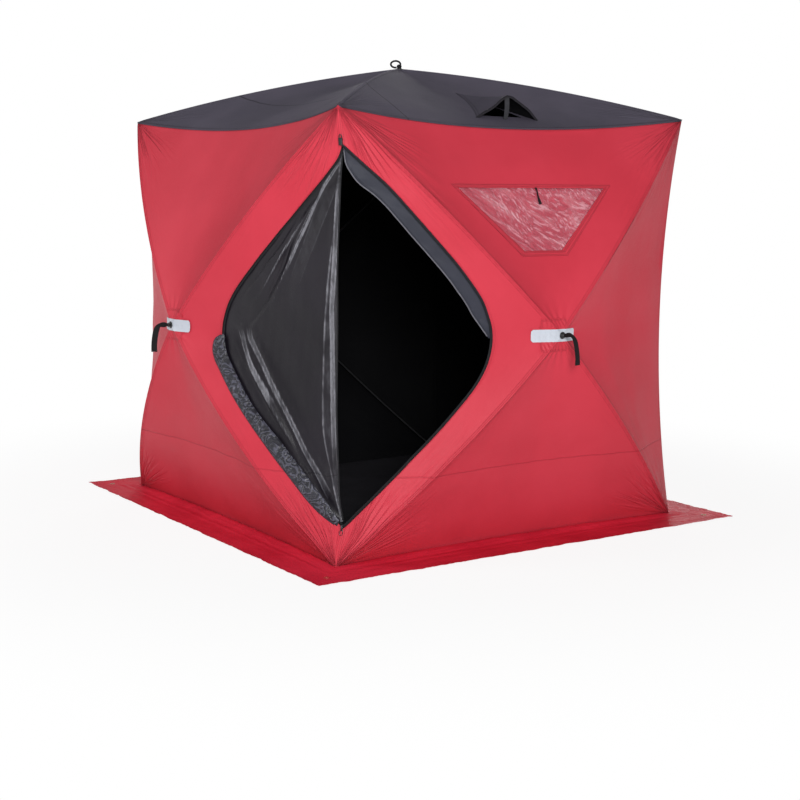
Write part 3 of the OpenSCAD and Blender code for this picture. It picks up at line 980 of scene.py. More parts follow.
@dataclass(frozen=True)
class Wrinkles:
    """How stretched cloth puckers over its poles; heights and reaches in metres."""

    welt: float = 0.0024
    welt_reach: float = 0.012
    gather: float = 0.0030
    gather_reach: float = 0.10
    pleat: float = 0.040
    pleat_reach: float = 0.26
    pleat_waves: float = 17.0
    ripple: float = 0.0014
    ripple_reach: float = 0.055
    drape: float = 0.0050

    def pleats(self, points: Array, gap: Array, ends: Sequence[Array], start: float) -> Array:
        """Folds that spread like fans from the ends of the poles.

        Args:
            points: The smooth surface's points.
            gap: Distance from the nearest pole.
            ends: Corners that pleats spread from.
            start: Shifts the pattern from facet to facet.

        Returns:
            A height for each point.
        """
        height = np.zeros(points.shape[:-1])
        for number, end in enumerate(ends):
            away = np.linalg.norm(points - end, axis=-1) + 1e-6
            lean = np.clip(gap / away, 0, 1)
            swell = away * np.exp(-away / self.pleat_reach)
            phase = lean * self.pleat_waves + 2.2 * np.sin(lean * 8 + start + 2 * number)
            ridge = np.exp(-((np.sin(phase + start + 1.5 * np.sin(away * 5 + start)) / 0.5) ** 2))
            patch = 0.55 + 0.45 * np.sin(lean * 7 + start + number)
            height += self.pleat * swell * patch * ridge * eased((0.66 - lean) / 0.3)
        return height

    def height(
        self, points: Array, s: Array, u: Array, gap: Array, ends: Sequence[Array], start: float
    ) -> Array:
        """How far the cloth stands off its smooth surface.

        Args:
            points: The smooth surface's points.
            s: Reach from the hub.
            u: Share along the outer edge.
            gap: Distance from the nearest pole.
            ends: Corners that pleats spread from.
            start: Shifts the pattern from facet to facet.

        Returns:
            A height for each point.
        """
        free = eased(gap / 0.016)
        turns = 15.0 + 3.0 * math.sin(start)
        gather = self.gather * np.exp(-((s / self.gather_reach) ** 2)) * np.sin(u * turns * 2.1)
        height = (gather + self.pleats(points, gap, ends, start)) * free
        uneven = wander(points, 0.30, start)
        rows = np.sin(gap * math.tau / 0.034 + 2.4 * uneven)
        fade_out = np.exp(-gap / self.ripple_reach)
        height += self.ripple * fade_out * rows * free * s * np.clip(0.3 + 0.9 * uneven, 0, 1.5)
        height += self.drape * wander(points, 0.55, start + 1.0) * eased(gap / 0.16)
        return height + self.welt * np.exp(-((gap / self.welt_reach) ** 2))


# ---------------------------------------------------------------- making meshes


@dataclass
class Grid:
    """A surface as rows of points.

    Each point carries its distances from the nearest seam and the nearest pole, how far along that
    pole it is, its distance from the nearest corner, and how bright the painted highlight on a fold's
    crest is there.
    """

    points: Array
    seam: Array
    fan: bool = False
    pole: Array | None = None
    run: Array | None = None
    corner: Array | None = None
    crest: Array | None = None

    def carried(self) -> Array:
        """The numbers that each point carries, one row a point."""
        far = np.full(self.points.shape[:2], 0.3)
        pole = far if self.pole is None else self.pole
        run = far * 0 if self.run is None else self.run
        corner = far * 10 if self.corner is None else self.corner
        crest = far * 0 if self.crest is None else self.crest
        return np.stack([self.seam + 0 * far, pole, run, corner, crest], -1).reshape(-1, 5)

    def area(self) -> float:
        """The surface's area in square metres."""
        p = self.points
        first = np.cross(p[1:, :-1] - p[:-1, :-1], p[1:, 1:] - p[:-1, :-1])
        second = np.cross(p[1:, 1:] - p[:-1, :-1], p[:-1, 1:] - p[:-1, :-1])
        return float(np.linalg.norm(first, axis=-1).sum() + np.linalg.norm(second, axis=-1).sum()) / 2


def planes_round(corners: Sequence[Array], along: Array) -> list[Plane]:
    """Planes through the sides of an opening.

    Args:
        corners: The opening's corners, in order.
        along: The direction in which it is cut through.

    Returns:
        A place on each plane and its normal, which points out of the opening.
    """
    middle = sum(corners) / len(corners)
    planes = []
    for first, second in zip(corners, [*corners[1:], corners[0]], strict=True):
        way = unit(np.cross(second - first, along))
        planes.append((first, -way if float(np.dot(middle - first, way)) > 0 else way))
    return planes


class Sewing:
    """Makes thin closed cloth and other pieces from grids of points."""

    CARRIED = ("seam_gap", "pole_gap", "pole_run", "corner_gap", "fold_crest")
    SHARPEST = 40.0

    def __init__(self, hut: HutShape) -> None:
        """Keeps the hut's shape, which layers are scaled from."""
        self.hut = hut

    @staticmethod
    def downwards(thickness: float, floor: float = 0.0006) -> Inward:
        """How the underside of cloth on the floor is found.

        Args:
            thickness: Thickness of the cloth.
            floor: The lowest that the underside may be.

        Returns:
            A function from the upper points to the lower ones.
        """

        def lowered(points: Array) -> Array:
            """The points moved down."""
            low = points.copy()
            low[..., 2] = np.maximum(low[..., 2] - thickness, np.minimum(floor, low[..., 2] / 2))
            return low

        return lowered

    @staticmethod
    def _faces(index: Array) -> list[tuple[int, ...]]:
        """Faces between the rows of a table of point numbers."""
        quads = np.stack(
            [index[:-1, :-1], index[1:, :-1], index[1:, 1:], index[:-1, 1:]], -1
        ).reshape(-1, 4)
        return [tuple(dict.fromkeys(quad)) for quad in quads.tolist()]

    def _open_surface(
        self, grids: Sequence[Grid], cuts: Sequence[Sequence[Plane]]
    ) -> tuple[Array, Array, list[tuple[int, ...]]]:
        """Joins grids and cuts holes in them.

        Args:
            grids: The surfaces.
            cuts: Each hole's planes, whose normals point out of it.

        Returns:
            The points, the numbers that they carry and the faces.
        """
        made = bmesh.new()
        layers = [made.verts.layers.float.new(name) for name in self.CARRIED]
        for grid in grids:
            rows, cols = grid.points.shape[:2]
            index = np.arange(rows * cols).reshape(rows, cols)
            if grid.fan:
                index[0, :] = 0
            flat, carried = grid.points.reshape(-1, 3), grid.carried()
            corners = {}
            for number in np.unique(index).tolist():
                corners[number] = made.verts.new(flat[number])
                for layer, value in zip(layers, carried[number], strict=True):
                    corners[number][layer] = float(value)
            for face in self._faces(index):
                made.faces.new([corners[number] for number in face])
        for planes in cuts:
            inside = [f for f in made.faces if self._within(f.calc_center_median(), planes, 0.12)]
            geometry = set(inside)
            for face in inside:
                geometry.update(face.verts)
                geometry.update(face.edges)
            for place, way in planes:
                geometry = {part for part in geometry if part.is_valid}
                cut = bmesh.ops.bisect_plane(
                    made, geom=list(geometry), plane_co=place, plane_no=way, dist=1e-6
                )
                geometry.update(cut["geom"])
            holes = [f for f in made.faces if self._within(f.calc_center_median(), planes, 0.0)]
            bmesh.ops.delete(made, geom=holes, context="FACES")
        made.verts.ensure_lookup_table()
        made.verts.index_update()
        points = np.array([v.co for v in made.verts], float)
        carried = np.array([[v[layer] for layer in layers] for v in made.verts], float)
        faces = [tuple(v.index for v in f.verts) for f in made.faces]
        made.free()
        return points, carried, faces

    @staticmethod
    def _within(place: Sequence[float], planes: Sequence[Plane], slack: float) -> bool:
        """Whether a place is inside every plane, or no more than slack outside."""
        return all(float(np.dot(np.array(place) - co, way)) < slack for co, way in planes)

    def cloth(
        self,
        name: str,
        grids: Sequence[Grid],
        materials: Sequence[Material],
        inward: Inward | float,
        cuts: Sequence[Sequence[Plane]] = (),
    ) -> bpy.types.Object:
        """Makes a thin closed sheet.

        Args:
            name: The piece's name.
            grids: Its outer surface.
            materials: The outer face's material, then the inner one's if it differs.
            inward: Gives the inner face's points, or the thickness of cloth towards the room.
            cuts: Each hole's planes, whose normals point out of it.

        Returns:
            The piece.
        """
        points, carried, faces = self._open_surface(grids, cuts)
        if isinstance(inward, float):
            inner = self.hut.scaled(points, 1.0 - inward)
        else:
            inner = inward(points)
        a, b, c = (points[[f[i] for f in faces]] for i in range(3))
        faces_out = np.cross(b - a, c - a)
        if float((faces_out * (a - inner[[f[0] for f in faces]])).sum()) < 0:
            faces = [face[::-1] for face in faces]
        count = len(points)
        ways = {(f[i], f[(i + 1) % len(f)]) for f in faces for i in range(len(f))}
        rim = [(p, q) for p, q in ways if (q, p) not in ways]
        under = [tuple(i + count for i in face[:1] + face[:0:-1]) for face in faces]
        sides = [(q, p, p + count, q + count) for p, q in sorted(rim)]
        mesh = bpy.data.meshes.new(name)
        whole = self.pulled(np.vstack([points, inner]))
        mesh.from_pydata(whole.tolist(), [], faces + under + sides)
        for column, label in enumerate(self.CARRIED):
            numbers = np.concatenate([carried[:, column]] * 2).astype(np.float32)
            mesh.attributes.new(label, "FLOAT", "POINT").data.foreach_set("value", numbers)
        slots = np.zeros(len(mesh.polygons), np.int32)
        if len(materials) > 1:
            slots[len(faces):] = 1
        self._finish_mesh(mesh, materials, slots)
        edges = np.zeros(len(mesh.edges) * 2, np.int64)
        mesh.edges.foreach_get("vertices", edges)
        edges = np.sort(edges.reshape(-1, 2), axis=1)
        keys = edges[:, 0] * (4 * count) + edges[:, 1]
        sharp = {min(p, q) * 4 * count + max(p, q) for p, q in rim}
        sharp |= {(min(p, q) + count) * 4 * count + max(p, q) + count for p, q in rim}
        mesh.attributes.new("sharp_edge", "BOOLEAN", "EDGE").data.foreach_set(
            "value", np.isin(keys, list(sharp))
        )
        return self._placed(name, mesh)

    def pulled(self, points: Array) -> Array:
        """Shifts the cloth at the door's tips, where its weight pulls the corner aside.

        Args:
            points: Points of a piece.

        Returns:
            The shifted points.
        """
        moved = points.copy()
        for share, pull in ((0.087, 0.019), (0.915, 0.009)):
            tip = Wall.FRONT.room(self.hut.corner_line(np.array(share), -1.0))
            flat = ((points[:, :2] - tip[:2]) ** 2).sum(-1) / 0.11**2
            tall = ((points[:, 2] - tip[2]) / 0.075) ** 2
            moved += (pull * np.exp(-flat - tall))[:, None] * ASIDE
        return moved

    @staticmethod
    def _finish_mesh(mesh: bpy.types.Mesh, materials: Sequence[Material], slots: Array) -> None:
        """Gives a mesh its materials and smooth shading.

        Args:
            mesh: The mesh.
            materials: Its materials.
            slots: Each face's material number.
        """
        for material in materials:
            mesh.materials.append(material)
        mesh.polygons.foreach_set("material_index", slots)
        mesh.polygons.foreach_set("use_smooth", np.ones(len(mesh.polygons), bool))
        mesh.update()

    @staticmethod
    def _placed(name: str, mesh: bpy.types.Mesh) -> bpy.types.Object:
        """Puts a mesh in the scene as a piece that rides with the hut."""
        piece = linked(name, mesh)
        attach(piece, "root")
        return piece

    def solid(self, name: str, parts: Sequence[Solid], material: Material) -> bpy.types.Object:
        """Joins closed parts into one piece.

        Args:
            name: The piece's name.
            parts: Points and faces of each part.
            material: Its material.

        Returns:
            The piece.
        """
        points, faces, start = [], [], 0
        for part_points, part_faces in parts:
            points.append(np.asarray(part_points, float))
            faces += [tuple(i + start for i in face) for face in part_faces]
            start += len(part_points)
        mesh = bpy.data.meshes.new(name)
        mesh.from_pydata(self.pulled(np.vstack(points)).tolist(), [], faces)
        made = bmesh.new()
        made.from_mesh(mesh)
        bmesh.ops.recalc_face_normals(made, faces=made.faces)
        made.to_mesh(mesh)
        made.free()
        mesh.attributes.new("seam_gap", "FLOAT", "POINT").data.foreach_set(
            "value", np.full(len(mesh.vertices), 0.1, np.float32)
        )
        self._finish_mesh(mesh, [material], np.zeros(len(mesh.polygons), np.int32))
        mesh.set_sharp_from_angle(angle=math.radians(self.SHARPEST))
        return self._placed(name, mesh)

    def rails(self, line: Array) -> tuple[Array, Array, Array]:
        """The directions at each point of a line: along it, away from the room and across."""
        way = unit(np.gradient(line, axis=0))
        out = unit(line - self.hut.middle)
        return way, out, unit(np.cross(way, out))

    def edging(
        self, name: str, line: Array, lift: float, size: Triple, material: Material
    ) -> bpy.types.Object:
        """Binds an edge of cloth with a narrow band.

        Args:
            name: The piece's name.
            line: The edge's points.
            lift: How far the band's middle stands off them.
            size: Its width, its thickness and the radius of its corners.
            material: Its material.

        Returns:
            The piece.
        """
        _, out, across = self.rails(line)
        part = self.tube(line + out * lift, across, out, self.rounded(*size))
        return self.solid(name, [part], material)

    @staticmethod
    def _ring_faces(count: int, sides: int) -> list[tuple[int, ...]]:
        """Faces between rings of points, and across the first and the last.

        Args:
            count: How many rings there are.
            sides: How many points each has.

        Returns:
            The faces.
        """
        faces = [
            (i * sides + j, i * sides + (j + 1) % sides,
             (i + 1) * sides + (j + 1) % sides, (i + 1) * sides + j)
            for i in range(count - 1)
            for j in range(sides)
        ]
        last = tuple(range(count * sides - 1, (count - 1) * sides - 1, -1))
        return [*faces, tuple(range(sides)), last]

    @staticmethod
    def tube(line: Array, across: Array, out: Array, section: Array) -> Solid:
        """Sweeps a section along a line.

        Args:
            line: The line's points.
            across: The section's first direction at each point.
            out: Its second direction at each point.
            section: The section's points, or one section for each of the line's points.

        Returns:
            Points and faces, closed at both ends.
        """
        count = len(line)
        shape = np.broadcast_to(section, (count, *section.shape[-2:]))
        rings = (
            line[:, None, :]
            + across[:, None, :] * shape[..., 0:1]
            + out[:, None, :] * shape[..., 1:2]
        )
        return rings.reshape(-1, 3), Sewing._ring_faces(count, shape.shape[1])

    @staticmethod
    def turned(
        profile: Sequence[tuple[float, float]], place: Array, axis: Array, sides: int = 28
    ) -> Solid:
        """Turns a profile about an axis.

        Args:
            profile: Radius and distance along the axis of each ring.
            place: Where the axis starts.
            axis: The axis's direction.
            sides: How many sides a ring has.

        Returns:
            Points and faces, closed at both ends.
        """
        main = unit(np.asarray(axis, float))
        helper = UP if abs(main[2]) < 0.9 else np.array([1.0, 0.0, 0.0])
        first = unit(np.cross(main, helper))
        second = np.cross(main, first)
        turn = np.linspace(0, math.tau, sides, endpoint=False)
        circle = np.cos(turn)[:, None] * first + np.sin(turn)[:, None] * second
        rings = [place + circle * radius + main * along for radius, along in profile]
        return np.vstack(rings), Sewing._ring_faces(len(profile), sides)

    @staticmethod
    def rounded(width: float, depth: float, radius: float, steps: int = 4) -> Array:
        """A rectangle's outline with rounded corners.

        Args:
            width: Its size along the first direction.
            depth: Its size along the second.
            radius: The corners' radius.
            steps: Points on each corner.

        Returns:
            The outline's points.
        """
        points = []
        for number, (sx, sy) in enumerate([(1, 1), (-1, 1), (-1, -1), (1, -1)]):
            for step in range(steps):
                turn = math.pi / 2 * (number + step / (steps - 1))
                points.append((
                    sx * (width / 2 - radius) + radius * math.cos(turn),
                    sy * (depth / 2 - radius) + radius * math.sin(turn),
                ))
        return np.array(points)


# ---------------------------------------------------------------- the hut's pieces


@dataclass
class Work:
    """What every group of pieces is made with."""

    sewing: Sewing
    finishes: Finishes

    @property
    def hut(self) -> HutShape:
        """The hut's shape."""
        return self.sewing.hut


@dataclass
class RoofLoop(Work):
    """The cord loop on the roof's hub, with its knot and grommet."""

    thick: float = 0.0085
    half_long: float = 0.022
    half_high: float = 0.0150

    def build(self) -> None:
        """Builds the cord, its knot and the grommet it leaves from."""
        hut = self.hut
        side = ASIDE
        centre = UP * (hut.apex + 0.006) - side * 0.017 + UP * 0.0165
        turns = np.radians(np.linspace(-38.0, 282.0, 30))
        ring = [
            centre + side * self.half_long * math.cos(t) + UP * self.half_high * math.sin(t)
            for t in turns
        ]
        curve = bpy.data.curves.new("roof_loop_cord", "CURVE")
        curve.dimensions = "3D"
        curve.bevel_depth = self.thick / 2
        curve.bevel_resolution = 4
        curve.use_fill_caps = True
        spline = curve.splines.new("POLY")
        spline.points.add(len(ring) - 1)
        for point, place in zip(spline.points, ring, strict=True):
            point.co = (*place, 1.0)
        curve.materials.append(self.finishes.webbing)
        cord = linked("roof_loop_cord", curve)
        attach(cord, "root")
        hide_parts("roof_loop")
        length = float(sum(np.linalg.norm(q - p) for p, q in zip(ring, ring[1:], strict=False)))
        knot_place = ring[0] - side * 0.001 - UP * 0.001
        knot = self.sewing.solid(
            "roof_loop_knot",
            [
                self.sewing.turned(
                    [(0.003, -0.0095), (0.0080, -0.006), (0.0094, 0.0), (0.0080, 0.006),
                     (0.003, 0.0095)], knot_place + side * 0.002 * lean, side * 0.5 + UP * lean, 16)
                for lean in (1.0, -0.8)
            ],
            self.finishes.webbing,
        )
        grommet = self.sewing.solid(
            "roof_grommet",
            [self.sewing.turned(
                [(0.004, -0.003), (0.019, -0.003), (0.019, 0.0005), (0.012, 0.002), (0.0095, 0.006),
                 (0.0065, 0.0085), (0.004, 0.009)], UP * hut.apex, UP, 32)],
            self.finishes.plastic,
        )
        LOG.info("roof loop: %.0f mm of cord", length * 1000)


@dataclass
class Shell(Work):
    """The sixteen cloth facets of the four walls."""

    wrinkles: Wrinkles = field(default_factory=Wrinkles)
    thickness: float = 0.0012
    rows: int = 58
    cols: int = 76
    door_arms: tuple[float, float] = (1.28, 0.62)

    @staticmethod
    def crowded(count: int, strength: float) -> Array:
        """Shares from 0 to 1 that crowd towards both ends."""
        even = np.linspace(0.0, 1.0, count)
        return even * (1 - strength) + (0.5 - 0.5 * np.cos(even * math.pi)) * strength

    def gaps(self, part: Part, s: Array, u: Array, reach: Array) -> tuple[Array, Array]:
        """Distances of a facet's points from its edges, near enough.

        Args:
            part: Which facet.
            s: Reach from the hub, as a share of the facet's own reach.
            u: Share along the outer edge.
            reach: How far the facet reaches at that share.

        Returns:
            Distances in metres from the poles, and from the outer edge.
        """
        hut = self.hut
        slant = 0.72
        span = hut.eave if part.upright else 2 * hut.half
        return np.minimum(u, 1 - u) * s * reach * span * slant, (1 - s) * reach * 0.93

    def facet(self, wall: Wall, part: Part, door: bool) -> tuple[Grid, Array]:
        """Works out a facet's wrinkled surface.

        Args:
            wall: The wall that it is on.
            part: Which facet.
            door: Whether the door's opening is cut from its outer edge.

        Returns:
            The surface, and the smooth points that it came from.
        """
        hut = self.hut
        s_line = self.crowded(self.rows, 0.55)
        if door:
            u_line, reach_line = DoorOutline.whole(wall, self.cols)
        else:
            u_line = self.crowded(self.cols, 0.8)
            reach_line = np.ones_like(u_line)
        s, u = np.meshgrid(s_line, u_line, indexing="ij")
        reach = np.broadcast_to(reach_line, s.shape)
        smooth = wall.room(hut.local(part, s * reach, u))
        gap, edge = self.gaps(part, s, u, reach)
        seam = np.minimum(gap, edge)
        ends = [smooth[-1, 0], smooth[-1, -1]]
        start = 1.3 * wall.value + 2.1 * list(Part).index(part)
        height = self.wrinkles.height(smooth, s * reach, u, gap, ends, start)
        if part.upright:
            height = height * eased(edge / 0.025)
        height *= 1.0 if part.upright else eased((1 - s) / 0.03)
        if part is Part.TOP and wall.windowed:
            height *= self.window_ease(smooth)
        run = s * reach * 1.25 + wall.value * 3.0 + list(Part).index(part) * 0.7
        points = hut.lifted(smooth, height)
        corner = np.min([np.linalg.norm(smooth - end, axis=-1) for end in ends], axis=0)
        return Grid(points, seam, fan=True, pole=gap, run=run, corner=corner), smooth

    @staticmethod
    def window_ease(points: Array) -> Array:
        """Keeps the cloth calm round the window, so that its layers lie on it."""
        low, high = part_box("window_bindings")
        across = np.abs(points[..., 0]) / high.x
        drop = (points[..., 2] - low.z) / (high.z - low.z)
        near = eased((1.25 - across) / 0.2) * eased((drop + 0.3) / 0.25) * eased((1.3 - drop) / 0.25)
        return 1 - 0.85 * near

    def build(self, window: "Window") -> None:
        """Builds and dresses every facet.

        Args:
            window: Gives the planes of the window's hole.
        """
        hut = self.hut
        for wall, part in itertools.product(Wall, (Part.TOP, Part.BOTTOM, Part.LESS, Part.MORE)):
            node, door = self.node_of(wall, part)
            grid, smooth = self.facet(wall, part, door)
            holed = part is Part.TOP and wall.windowed
            cuts = [window.hole(wall)] if holed else []
            word = {Part.LESS: "low_side", Part.MORE: "high_side"}.get(part, part.value)
            piece = self.sewing.cloth(
                f"{wall.word}_{word}_cloth", [grid], [self.finishes.shell, self.finishes.lining],
                self.thickness, cuts,
            )
            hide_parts(node)
            long = (hut.eave * 1.03, hut.half * 1.09)
            flat = long if part.upright else (hut.half * 2.03, hut.eave * 0.56)
            flat = self.door_arms if door else flat
            area = Grid(smooth, grid.seam).area() - (window.area() if holed else 0.0)
            LOG.info("%s: %.2f square metres", piece.name, area)

    @staticmethod
    def node_of(wall: Wall, part: Part) -> tuple[str, bool]:
        """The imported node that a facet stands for.

        Args:
            wall: The facet's wall.
            part: Which facet.

        Returns:
            The node's name, and whether the door is cut from it.
        """
        if not part.upright:
            return f"wall_{wall.word}_{part.value}", False
        if wall is Wall.FRONT:
            return ("wall_front_door", True) if part is Part.LESS else ("wall_front_right", False)
        if wall is Wall.LEFT:
            return ("wall_left_door", True) if part is Part.MORE else ("wall_left_back", False)
        return f"wall_{wall.word}_sides", False


@dataclass
class Roof(Work):
    """The four dark roof facets, their vents and the strips that prop the vents open."""

    thickness: float = 0.0012
    rows: int = 56
    cols: int = 72
    vent_back: tuple[float, float] = (0.47, 0.545)
    vent_peak: tuple[float, float] = (0.885, 0.535)
    vent_left: tuple[float, float] = (0.882, 0.4331)
    vent_right: tuple[float, float] = (0.898, 0.631)
    vent_rise: float = 0.103
    hole_share: float = 0.7
    eave_turn: float = 0.009

    def on_roof(self, shares: Sequence[float], wall: Wall, lift: float = 0.0) -> Array:
        """A point of the smooth roof.

        Args:
            shares: Reach from the roof's hub, and share along the eave.
            wall: The side of the roof.
            lift: Height above the cloth.

        Returns:
            The point in the room.
        """
        hut = self.hut
        local = hut.local(Part.ROOF, np.array(shares[0]), np.array(shares[1]))
        return hut.lifted(wall.room(local), lift)

    def hole(self, wall: Wall) -> list[Plane]:
        """The upright planes round a vent's hole, whose normals point out of it."""
        corners = [np.array(c) for c in (self.vent_back, self.vent_left, self.vent_right)]
        centre = sum(corners) / 3.0
        places = [self.on_roof(centre + (c - centre) * self.hole_share, wall) for c in corners]
        return planes_round(places, UP)

    def facet(self, wall: Wall) -> tuple[Grid, Array]:
        """Works out a roof facet's surface, with its edge turned down over the wall.

        Args:
            wall: The side of the roof.

        Returns:
            The surface, and the smooth points that it came from.
        """
        hut = self.hut
        s_line = Shell.crowded(self.rows, 0.5)
        s, u = np.meshgrid(s_line, Shell.crowded(self.cols, 0.75), indexing="ij")
        smooth = wall.room(hut.local(Part.ROOF, s, u))
        poles = np.minimum(u, 1 - u) * s * 2 * hut.half * 0.71
        gap = np.minimum(poles, (1 - s) * 0.95)
        start = 0.7 * wall.value + 9.0
        loose = Wrinkles(welt=0.0022, gather=0.0016, gather_reach=0.12, pleat=0.022,
                         pleat_reach=0.2, ripple=0.0010, drape=0.0035)
        ends = [smooth[-1, 0], smooth[-1, -1]]
        height = loose.height(smooth, s, u, gap, ends, start)
        height *= eased((1 - s) / 0.03)
        points = hut.lifted(smooth, height + 0.0004)
        edge = wall.room(hut.local(Part.TOP, np.ones_like(s[0]), u[0]))
        below = wall.room(hut.local(Part.TOP, 1 - self.eave_turn / 0.93 + 0 * s[0], u[0]))
        folded = [hut.lifted(edge, 0.0018)]
        folded += [hut.lifted(edge + (below - edge) * f, 0.0022) for f in (0.3, 0.65, 1.0)]
        points = np.concatenate([points, np.array(folded)])
        seams = np.vstack([gap] + [np.full(self.cols, d) for d in (0.0, 0.003, 0.006, 0.009)])
        poles, lengths = (np.vstack([rows, *[rows[-1:]] * len(folded)]) for rows in (poles, s))
        corner = np.min([np.linalg.norm(points - end, axis=-1) for end in ends], axis=0)
        run = lengths * 1.25 + wall.value * 2.0
        return Grid(points, seams, fan=True, pole=poles, run=run, corner=corner), smooth

    def hood(self, wall: Wall) -> None:
        """Builds a vent's peaked hood.

        Args:
            wall: The side of the roof.
        """
        hut = self.hut
        peak = self.on_roof(self.vent_peak, wall) + UP * self.vent_rise
        back = self.on_roof(self.vent_back, wall, 0.0012)
        rows = []
        along, across = np.linspace(0.0, 1.0, 30), np.linspace(0.0, 1.0, 33)
        back_shares, left, right = (np.array(c) for c in (self.vent_back, self.vent_left, self.vent_right))
        for f in along:
            ridge = back + (peak - back) * f - UP * (0.010 * arch(f))
            feet = [self.on_roof(back_shares + (foot - back_shares) * f, wall, 0.0012)
                    for foot in (left, right)]
            row = []
            for g in across:
                foot, h = (feet[0], 1 - 2 * g) if g < 0.5 else (feet[1], 2 * g - 1)
                point = ridge + (foot - ridge) * h
                bulge = 0.004 if g < 0.5 else -0.014
                sag = bulge * f * arch(h) + 0.0025 * f * math.sin(h * 9 + 4 * f) * arch(h)
                crown = 0.004 * f * math.exp(-((h / 0.1) ** 2))
                row.append(point - UP * (sag + crown))
            rows.append(row)
        points = np.array(rows)
        points = hut.lifted(points, 0.0012 * wander(points, 0.07, 2.0 + wall.value) * along[:, None])
        beside = (1 - np.abs(2 * across - 1))[None, :] * along[:, None] * 0.11
        seam = np.minimum(np.minimum((1 - along)[:, None] * 0.42, 0.1), beside)
        grid = Grid(points, seam, fan=True)
        piece = self.sewing.cloth(
            f"{wall.word}_vent_hood", [grid], [self.finishes.hood, self.finishes.lining],
            lambda given: given - UP * 0.0014,
        )
        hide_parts("vent_hoods")
        LOG.info("%s: %.3f square metres", piece.name, grid.area())
        grid.area()
        self.hem(wall, points[-1])
        self.prop(wall, peak)

    def hem(self, wall: Wall, edge: Array) -> None:
        """Binds a hood's mouth with a narrow hem.

        Args:
            wall: The side of the roof.
            edge: The mouth's points.
        """
        forward = np.broadcast_to(wall.out, edge.shape)
        down = unit(np.cross(unit(np.gradient(edge, axis=0)), forward))
        down = np.where(down[:, 2:] > 0, -down, down)
        section = self.sewing.rounded(0.003, 0.011, 0.0014)
        part = self.sewing.tube(edge + down * 0.003, forward, down, section)
        piece = self.sewing.solid(f"{wall.word}_vent_hem", [part], self.finishes.door)

    def prop(self, wall: Wall, peak: Array) -> None:
        """Builds the webbing strip that props a hood open.

        Args:
            wall: The side of the roof.
            peak: The hood's highest point.
        """
        foot = self.on_roof((0.89, 0.535), wall, 0.0020)
        head = peak - UP * 0.014
        side = wall.room([1.0, 0.0, 0.0])
        along = np.linspace(0, 1, 14)
        line = foot + (head - foot) * along[:, None]
        line = line + side * (0.004 * arch(along) - 0.011 * (1 - along))[:, None]
        front = unit(np.cross(side, head - foot))
        across = unit(side + front * (0.35 * np.sin(along * 2.2))[:, None])
        part = self.sewing.tube(
            line, across, np.cross(across, unit(head - foot)),
            self.sewing.rounded(0.021, 0.0026, 0.0009),
        )
        piece = self.sewing.solid(f"{wall.word}_vent_prop", [part], self.finishes.grey_web)
        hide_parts("vent_props")

    def build(self) -> None:
        """Builds the facets and both vents."""
        for wall in Wall:
            grid, smooth = self.facet(wall)
            cuts = [self.hole(wall)] if wall.windowed else []
            piece = self.sewing.cloth(
                f"{wall.word}_roof_cloth", [grid], [self.finishes.roof, self.finishes.lining],
                self.thickness, cuts,
            )
            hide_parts(f"roof_{wall.word}")
            hut = self.hut
            area = Grid(smooth, smooth[..., 0]).area()
            if wall.windowed:
                self.hood(wall)
            LOG.info("%s: %.2f square metres", piece.name, area)


